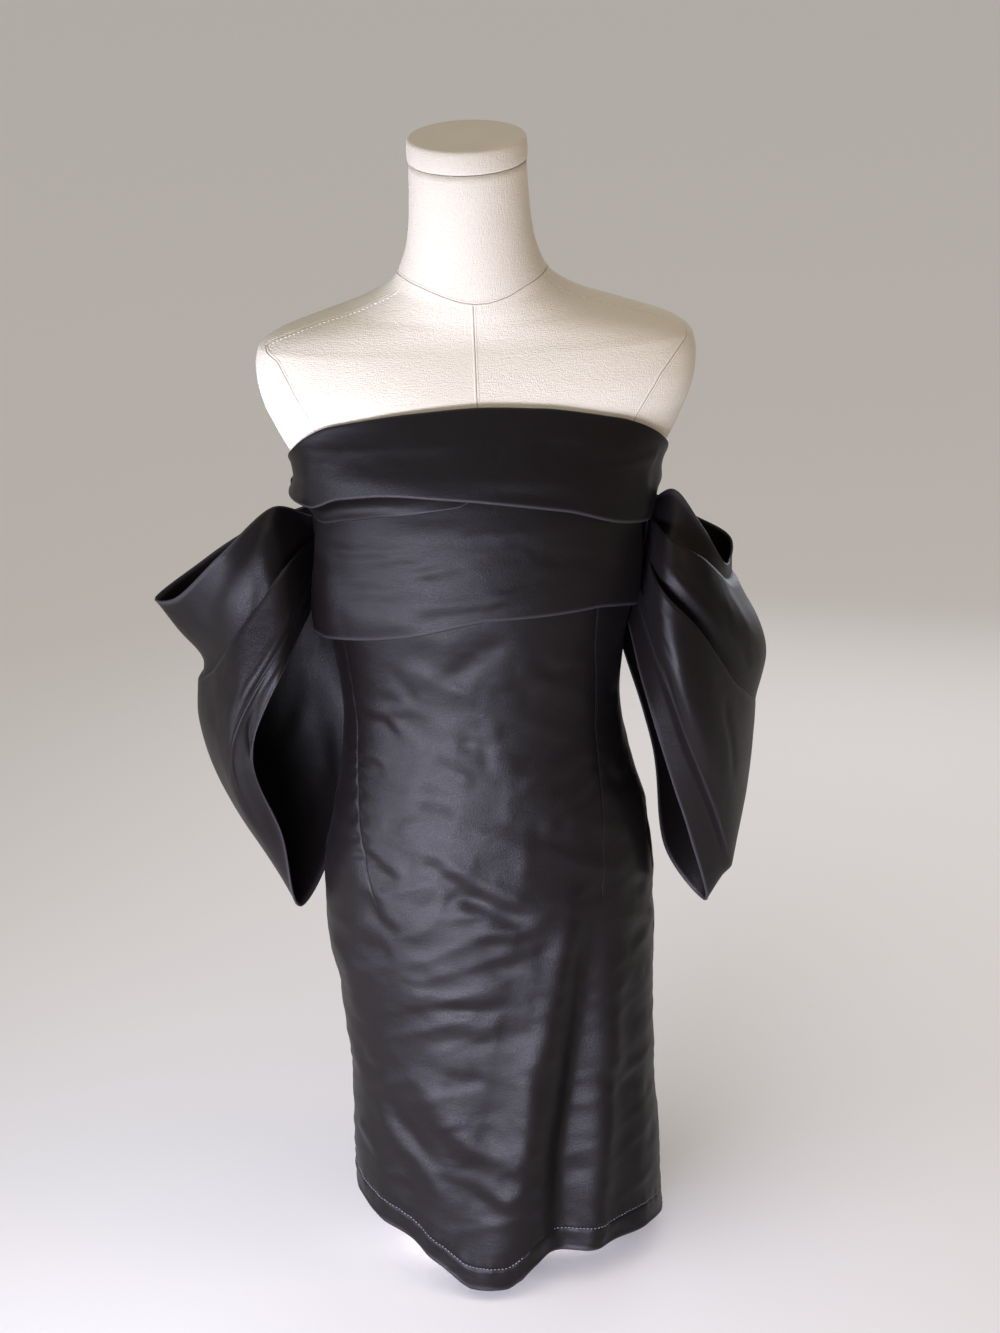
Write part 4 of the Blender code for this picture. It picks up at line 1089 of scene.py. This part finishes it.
def soften(grid, passes):
    """Rounds a grid's sharpest folds a little, borders kept."""
    for _ in range(passes):
        inner = (grid[:-2, 1:-1] + grid[2:, 1:-1] + grid[1:-1, :-2] + grid[1:-1, 2:]) / 4
        grid = grid.copy()
        grid[1:-1, 1:-1] = (grid[1:-1, 1:-1] + inner) / 2
    return grid


def make_sleeve(name, node, table, side, pleats, creases, seed, satin):
    """A wide band of satin that loops from the front seam out and round to the back seam."""
    lines = overlap_pleats(sleeve_lines(table, side), pleats, side)
    grid, places = sleeve_surface(lines, [row for pleat in pleats for row in pleat[:2]])
    grid = soften(grid, 1)
    rows, columns = grid.shape[:2]
    length = float(np.linalg.norm(np.diff(grid, axis=1), axis=2).sum(axis=1).mean())
    down = np.concatenate([[0], np.cumsum(np.linalg.norm(np.diff(grid, axis=0), axis=2).mean(axis=1))])
    u = np.linspace(0, length, columns)[None, :] * np.ones((rows, 1))
    v = down[:, None] * np.ones(columns)
    flat = [(kind, width, depth, [(share * length, np.interp(row, places, down)) for share, row in line])
            for kind, width, depth, line in creases]
    flat += dents(seed, 18, (0.04, 0.02), (length - 0.04, down[-1] - 0.01), 0.5, 0.6)
    kept = ease(u / 0.03) * ease((length - u) / 0.03)
    moved = (relief(u, v, flat) + crumple(u, v, seed, SLEEVE_CRUMPLE)) * kept
    normals = grid_normals(grid)
    grid = grid + side * normals * -moved[..., None]
    wall = edge_wall(rows, columns, SLEEVE_ROW_STEP, 0)
    # painted highlight along both hems and, fainter, along the pleat edges
    marks = [(0, 0.6, 0.5), (rows - 1, 0.6, 0.5)]
    marks += [(int(np.searchsorted(places, edge)), 0.5, 0.15) for _, edge, _ in pleats]
    piece = make_shell(name, grid, wall, satin, row_highlights(rows, columns, marks))
    return dress_piece(piece, node)


def make_form(linen):
    """The dress form's torso, smooth all round."""
    sections = np.array(FORM_SECTIONS)
    heights = np.concatenate([
        np.linspace(a, b, 7, endpoint=False) for a, b in zip(sections[:, 0], sections[1:, 0])])
    heights = np.append(heights, sections[-1, 0])
    angle = np.linspace(-180, 180, 145)[:-1]
    rings = []
    for z in heights:
        middle, tilt = float(smooth(FORM_SECTIONS, 4, z)), float(smooth(FORM_SECTIONS, 6, z))
        ring = points_at(angle, form_reach(angle, z), 0 * angle)
        rings.append(np.stack([
            ring[:, 0], ring[:, 1] + middle, z + ring[:, 1] * math.tan(math.radians(tilt))], axis=1))
    piece = make_turned("form_torso_cover", rings, linen)
    return dress_piece(piece, "form_torso")


def make_turned(name, rings, material):
    """A closed solid through a stack of rings."""
    count, levels = len(rings[0]), len(rings)
    points = np.concatenate(rings)
    a = (np.arange(levels - 1)[:, None] * count + np.arange(count)).ravel()
    b = (np.arange(levels - 1)[:, None] * count + (np.arange(count) + 1) % count).ravel()
    quads = np.stack([a, b, b + count, a + count], axis=1)
    piece = make_mesh(name, points, quads, material)
    mesh = piece.data
    caps = [list(range(count - 1, -1, -1)), [(levels - 1) * count + k for k in range(count)]]
    faces = [tuple(face.vertices) for face in mesh.polygons] + [tuple(cap) for cap in caps]
    mesh.clear_geometry()
    mesh.from_pydata(points.tolist(), [], faces)
    mesh.validate()
    mesh.shade_smooth()
    return piece


def make_cap(linen):
    """The neck cap: a disc with softly rounded edges, its top cloth drawn over the side."""
    z, half_width, front, back, middle, squareness, tilt = FORM_SECTIONS[-1]
    angle = np.linspace(-180, 180, 145)[:-1]
    slope = math.tan(math.radians(tilt))
    rings = []
    for height, out in CAP_RINGS:
        radius = reach(angle, half_width, half_width, front + middle, back - middle, squareness) + out
        ring = points_at(angle, radius, 0 * angle)
        y = ring[:, 1]
        rings.append(np.stack([ring[:, 0], y + middle, z + SEAM_GAP + height + y * slope], axis=1))
    piece = make_turned("form_neck_cap_cover", rings, linen)
    return dress_piece(piece, "form_neck_cap")


def form_surface(angle, z):
    """Points on the form at true heights, although its sections are tilted."""
    section = np.array(z, float)
    for _ in range(6):
        flat = points_at(angle, form_reach(angle, section), 0 * np.asarray(angle, float))
        section = z - flat[..., 1] * np.tan(np.radians(smooth(FORM_SECTIONS, 6, section)))
    flat = points_at(angle, form_reach(angle, section), 0 * np.asarray(angle, float))
    flat[..., 2] = section + flat[..., 1] * np.tan(np.radians(smooth(FORM_SECTIONS, 6, section)))
    flat[..., 1] += smooth(FORM_SECTIONS, 4, section)
    return flat


def curve_points(places, surface, step):
    """Points every step along a smooth line over a surface, and the surface's outward directions."""
    places = np.array(places, float)
    count = 40 * (len(places) - 1) + 1
    t = np.linspace(0, len(places) - 1, count)
    angle = np.interp(t, np.arange(len(places)), places[:, 0])
    z = np.interp(t, np.arange(len(places)), places[:, 1])
    for _ in range(60):
        angle[1:-1] = (angle[:-2] + 2 * angle[1:-1] + angle[2:]) / 4
        z[1:-1] = (z[:-2] + 2 * z[1:-1] + z[2:]) / 4
    line = surface(angle, z)
    along = np.concatenate([[0], np.cumsum(np.linalg.norm(np.diff(line, axis=0), axis=1))])
    wanted = np.arange(0, along[-1], step)
    angle, z = np.interp(wanted, along, angle), np.interp(wanted, along, z)
    here = surface(angle, z)
    side = surface(angle + 0.4, z) - surface(angle - 0.4, z)
    up = surface(angle, z + 0.001) - surface(angle, z - 0.001)
    return here, unit(np.cross(side, up))


def make_seam(name, places, surface, linen, groove_shade):
    """A sewn seam: two low pressed ridges of cloth with a fine groove between them, the groove's floor given a
    darker material as painted shade.
    """
    here, out = curve_points(places, surface, 0.002)
    along = unit(np.gradient(here, axis=0))
    side = unit(np.cross(along, out))
    profile = ((-2.6, -0.20), (-1.6, 0.30), (-0.55, 0.42), (-0.30, 0.02), (0.30, 0.02), (0.55, 0.42),
               (1.6, 0.30), (2.6, -0.20))
    grid = np.stack([here + side * a / 1000 + out * b / 1000 for a, b in profile], axis=1)
    rows, columns = grid.shape[:2]
    piece = make_mesh(name, grid.reshape(-1, 3), grid_quads(rows, columns, 0, False), linen)
    piece.data.materials.append(groove_shade)
    # painted shade: the groove's floor faces take the darker material
    groove = len(profile) // 2 - 1
    for face in piece.data.polygons:
        if face.index % (columns - 1) == groove:
            face.material_index = 1
    return piece


def make_stitches(name, lines, material, length=0.0025, radius=0.00040):
    """Runs of small separate stitches, each a short round thread that dips in at both ends."""
    points, quads = [], []
    ring = np.linspace(0, 2 * np.pi, 6, endpoint=False)
    profile = ((0.0, 0.35, -0.9), (0.2, 1.0, 0.45), (0.8, 1.0, 0.45), (1.0, 0.35, -0.9))
    start = 0
    for here, out in lines:
        along = unit(np.gradient(here, axis=0))
        for point, outward, ahead in zip(here, out, along):
            side = np.cross(ahead, outward)
            for share, size, lift in profile:
                centre = point + ahead * length * (share - 0.5) + outward * radius * lift
                for turn in ring:
                    points.append(centre + radius * size * (side * math.cos(turn) + outward * math.sin(turn)))
            for level in range(3):
                for k in range(6):
                    a = start + level * 6 + k
                    b = start + level * 6 + (k + 1) % 6
                    quads.append((a, b, b + 6, a + 6))
            start += 24
    return make_mesh(name, np.array(points), np.array(quads), material)


def outer_panel_surface(angle, z):
    """The finished cloth of the skirt, folds and creases included."""
    angle, z = np.asarray(angle, float), np.asarray(z, float)
    u = angle * math.radians(BODY_RADIUS)
    above = z - edge_height(HEM, angle)
    creases = flat_places(FRONT_CREASES) + flat_places(DEEP_FOLD)
    creases += dents(11, 70, (-0.185, 0.09), (0.19, 0.61))
    moved = relief(u, z, creases) + crumple(u, z, 61, SKIRT_CRUMPLE) * calm(z) + hem_relief(angle, above)
    return points_at(angle, panel_outside(angle, z) + moved, z)


def make_hem_stitches(thread):
    """The hem's line of stitches, two fingers above its edge, across the front from seam to seam but not inside the
    deep fold.
    """
    lines = []
    for start, end in ((-89.5, 4.0), (20.0, 83.5)):
        angles = np.linspace(start, end, 60)
        places = [(a, float(edge_height(HEM, a)) + HEM_DEPTH) for a in angles]
        lines.append(curve_points(places, outer_panel_surface, 0.0035))
    piece = make_stitches("hem_stitches", lines, thread)
    return dress_piece(piece, None)


def make_shoulder_stitches(thread):
    """The topstitching that runs along the front of each shoulder seam."""
    lines = []
    for seam, turn in ((LEFT_SHOULDER_SEAM, 3.0), (RIGHT_SHOULDER_SEAM, -3.0)):
        places = [(angle + turn, z) for angle, z in seam[1:]]
        lines.append(curve_points(places, form_surface, 0.004))
    piece = make_stitches("shoulder_stitches", lines, thread)
    return dress_piece(piece, None)


def dress_piece(piece, node):
    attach(piece, "root")
    if node:
        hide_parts(node)
    return piece


def add(tree, kind, **values):
    node = tree.nodes.new(kind)
    for name, value in values.items():
        setattr(node, name, value)
    return node


def new_material(name):
    material = bpy.data.materials.new(name)
    material.use_nodes = True
    tree = material.node_tree
    return material, tree, tree.nodes["Principled BSDF"]


def noise(tree, coordinates, scale, detail=2.0, roughness=0.5):
    node = add(tree, "ShaderNodeTexNoise")
    node.inputs["Scale"].default_value = scale
    node.inputs["Detail"].default_value = detail
    node.inputs["Roughness"].default_value = roughness
    tree.links.new(coordinates, node.inputs["Vector"])
    return node.outputs["Fac"]


def stretched(tree, coordinates, scale):
    node = add(tree, "ShaderNodeMapping")
    node.inputs["Scale"].default_value = scale
    tree.links.new(coordinates, node.inputs["Vector"])
    return node.outputs["Vector"]


def colour_mix(tree, factor, first, second):
    node = add(tree, "ShaderNodeMix", data_type="RGBA")
    tree.links.new(factor, node.inputs["Factor"])
    node.inputs["A"].default_value = (*first, 1)
    node.inputs["B"].default_value = (*second, 1)
    return node.outputs["Result"]


def spread_value(tree, factor, low, high):
    node = add(tree, "ShaderNodeMapRange")
    tree.links.new(factor, node.inputs["Value"])
    node.inputs["From Min"].default_value = 0.3
    node.inputs["From Max"].default_value = 0.7
    node.inputs["To Min"].default_value = low
    node.inputs["To Max"].default_value = high
    return node.outputs["Result"]


def bump_chain(tree, shader, parts):
    """Bumps added one on another: each is a height, how strong it is and how deep in metres."""
    last = None
    for height, strength, distance in parts:
        node = add(tree, "ShaderNodeBump")
        node.inputs["Strength"].default_value = strength
        node.inputs["Distance"].default_value = distance
        tree.links.new(height, node.inputs["Height"])
        if last is not None:
            tree.links.new(last, node.inputs["Normal"])
        last = node.outputs["Normal"]
    tree.links.new(last, shader.inputs["Normal"])


def make_satin():
    """Heavy duchess satin: brown-black, with a soft sheen, a fine grain and a paler colour along fold edges that is
    a painted highlight.
    """
    material, tree, shader = new_material("satin")
    place = add(tree, "ShaderNodeTexCoord").outputs["Object"]
    clouds = noise(tree, place, 9.0, 3.0, 0.55)
    grain = noise(tree, place, 900.0, 2.0, 0.6)
    threads = noise(tree, stretched(tree, place, (700.0, 700.0, 150.0)), 1.0, 2.0, 0.6)
    ripples = noise(tree, stretched(tree, place, (26.0, 26.0, 60.0)), 1.0, 3.0, 0.5)
    colour = colour_mix(tree, clouds, (0.0036, 0.0024, 0.0020), (0.0054, 0.0040, 0.0042))
    # painted highlight: the base colour turns paler along fold edges, where they would catch the light
    highlight_mix = add(tree, "ShaderNodeMix", data_type="RGBA")
    tree.links.new(add(tree, "ShaderNodeAttribute", attribute_name="painted_highlight").outputs["Fac"], highlight_mix.inputs["Factor"])
    tree.links.new(colour, highlight_mix.inputs["A"])
    highlight_mix.inputs["B"].default_value = (0.060, 0.054, 0.058, 1)
    tree.links.new(highlight_mix.outputs["Result"], shader.inputs["Base Color"])
    tree.links.new(spread_value(tree, grain, 0.37, 0.52), shader.inputs["Roughness"])
    shader.inputs["Specular IOR Level"].default_value = 0.15
    shader.inputs["Sheen Weight"].default_value = 0.01
    shader.inputs["Sheen Roughness"].default_value = 0.42
    shader.inputs["Sheen Tint"].default_value = (0.80, 0.78, 0.92, 1)
    bump_chain(tree, shader, (
        (ripples, 0.35, 0.0012),
        (threads, 0.40, 0.00018),
        (grain, 0.62, 0.00030)))
    return material


def make_linen():
    """The form's cover: off-white plain-woven linen with slubs."""
    material, tree, shader = new_material("linen")
    place = add(tree, "ShaderNodeTexCoord").outputs["Object"]
    clouds = noise(tree, place, 14.0, 4.0, 0.6)
    across = noise(tree, stretched(tree, place, (170.0, 170.0, 1300.0)), 1.0, 2.0, 0.6)
    upright = noise(tree, stretched(tree, place, (1300.0, 1300.0, 170.0)), 1.0, 2.0, 0.6)
    fuzz = noise(tree, place, 620.0, 3.0, 0.7)
    colour = colour_mix(tree, clouds, (0.640, 0.580, 0.470), (0.725, 0.665, 0.555))
    tree.links.new(colour, shader.inputs["Base Color"])
    shader.inputs["Roughness"].default_value = 0.92
    shader.inputs["Specular IOR Level"].default_value = 0.25
    shader.inputs["Sheen Weight"].default_value = 0.15
    bump_chain(tree, shader, (
        (across, 0.80, 0.00060),
        (upright, 0.80, 0.00060),
        (fuzz, 0.70, 0.00060)))
    return material


def make_thread(name, colour):
    material, tree, shader = new_material(name)
    place = add(tree, "ShaderNodeTexCoord").outputs["Object"]
    twist = noise(tree, place, 2500.0, 1.0, 0.5)
    darker = tuple(0.7 * value for value in colour)
    tree.links.new(colour_mix(tree, twist, darker, colour), shader.inputs["Base Color"])
    shader.inputs["Roughness"].default_value = 0.6
    return material


def make_floor():
    """A plain pale floor."""
    material, tree, shader = new_material("floor")
    shader.inputs["Base Color"].default_value = (0.89, 0.875, 0.855, 1)
    shader.inputs["Roughness"].default_value = 0.9
    mesh = bpy.data.meshes.new("floor")
    half = 120.0
    mesh.from_pydata([(-half, -half, 0), (half, -half, 0), (half, half, 0), (-half, half, 0)], [], [(0, 1, 2, 3)])
    floor = bpy.data.objects.new("floor", mesh)
    bpy.context.scene.collection.objects.link(floor)
    mesh.materials.append(material)


def area_light(name, place, target, width, height, glow, colour, spread):
    """A soft light box: glow is how bright its face is, and spread how wide its beam, in degrees."""
    light = bpy.data.lights.new(name, "AREA")
    light.shape = "RECTANGLE"
    light.size = width
    light.size_y = height
    light.energy = glow * math.pi * width * height
    light.color = colour
    light.spread = math.radians(spread)
    lamp = bpy.data.objects.new(name, light)
    lamp.location = place
    lamp.rotation_euler = (Vector(target) - Vector(place)).to_track_quat("-Z", "Y").to_euler()
    lamp.visible_camera = False
    bpy.context.scene.collection.objects.link(lamp)


def make_lights():
    """A low cool window at the left, a low soft light in front, a warm one at the right, one behind."""
    area_light("window", (-1.70, -0.95, 0.34), (0, 0, 0.36), 1.2, 0.36, 4.9, (0.76, 0.80, 1.0), 70)
    area_light("front", (-0.62, -1.35, 0.22), (0, 0, 0.33), 1.1, 0.30, 13.5, (0.77, 0.78, 1.0), 76)
    area_light("warm_fill", (2.0, -0.8, 2.1), (0, 0, 0.8), 0.8, 0.8, 3.6, (1.0, 0.72, 0.46), 180)
    area_light("back_fill", (0.9, 2.4, 0.9), (0, 0, 0.45), 1.6, 0.9, 1.3, (0.86, 0.89, 1.0), 100)
    sun = bpy.data.lights.new("sky", "SUN")
    sun.energy = 1.22
    sun.angle = math.radians(70)
    sun.color = (1.0, 0.93, 0.85)
    lamp = bpy.data.objects.new("sky", sun)
    lamp.rotation_euler = (math.radians(18), math.radians(-10), 0)
    bpy.context.scene.collection.objects.link(lamp)
    world = bpy.data.worlds.new("studio")
    bpy.context.scene.world = world
    world.use_nodes = True
    background = world.node_tree.nodes["Background"]
    background.inputs["Color"].default_value = (1.0, 0.99, 0.98, 1)
    background.inputs["Strength"].default_value = 0.15
    bpy.context.scene.view_settings.view_transform = "Standard"


def make_camera():
    """The photo's view: a little above the dress, looking 17 degrees down."""
    pitch = math.radians(17.0)
    roll = math.radians(2.4)
    ahead = Vector((0, math.cos(pitch), -math.sin(pitch)))
    right = Vector((1, 0, 0))
    up = right.cross(ahead)
    rolled_right = right * math.cos(roll) - up * math.sin(roll)
    rolled_up = up * math.cos(roll) + right * math.sin(roll)
    data = bpy.data.cameras.new("camera")
    data.sensor_width = 36.0
    data.lens = 65.0
    camera = bpy.data.objects.new("camera", data)
    turn = Matrix((rolled_right, rolled_up, -ahead)).transposed().to_4x4()
    camera.matrix_world = Matrix.Translation((0.0098, -2.1, 1.2164)) @ turn
    bpy.context.scene.collection.objects.link(camera)
    bpy.context.scene.camera = camera


def main():
    satin = make_satin()
    linen = make_linen()
    hem_thread = make_thread("hem thread", (0.16, 0.16, 0.175))
    pale_thread = make_thread("pale thread", (0.80, 0.76, 0.68))
    # painted shade: a darker linen colour for the seams' groove floors, where shade falls
    painted_seam_shade = make_thread("painted seam shade", (0.30, 0.25, 0.20))
    make_form(linen)
    make_cap(linen)
    front = make_front(satin)
    back_right = make_back("back_cloth_right", "back_panel_right", RIGHT_SEAM, BACK_SEAM, 21, satin)
    back_left = make_back("back_cloth_left", "back_panel_left", -BACK_SEAM, LEFT_SEAM, 22, satin)
    lower = make_lower_band(satin)
    upper = make_upper_band(satin)
    under = make_under_fold(satin)
    left = make_sleeve("sleeve_cloth_left", "sleeve_left", LEFT_SLEEVE, -1, LEFT_PLEATS,
                       LEFT_SLEEVE_CREASES, 51, satin)
    right = make_sleeve("sleeve_cloth_right", "sleeve_right", RIGHT_SLEEVE, 1, RIGHT_PLEATS,
                        RIGHT_SLEEVE_CREASES, 52, satin)
    stitches = make_hem_stitches(hem_thread)
    for name, places in (
            ("seam_neck", NECK_SEAM), ("seam_shoulder_left", LEFT_SHOULDER_SEAM),
            ("seam_shoulder_right", RIGHT_SHOULDER_SEAM), ("seam_plate_left", LEFT_PLATE_SEAM),
            ("seam_plate_right", RIGHT_PLATE_SEAM), ("seam_centre", CENTRE_SEAM),
            ("seam_neck_back", BACK_NECK_SEAM), ("seam_centre_back", BACK_CENTRE_SEAM)):
        dress_piece(make_seam(name, places, form_surface, linen, painted_seam_shade), None)
    make_shoulder_stitches(pale_thread)
    make_floor()
    make_lights()
    make_camera()


main()
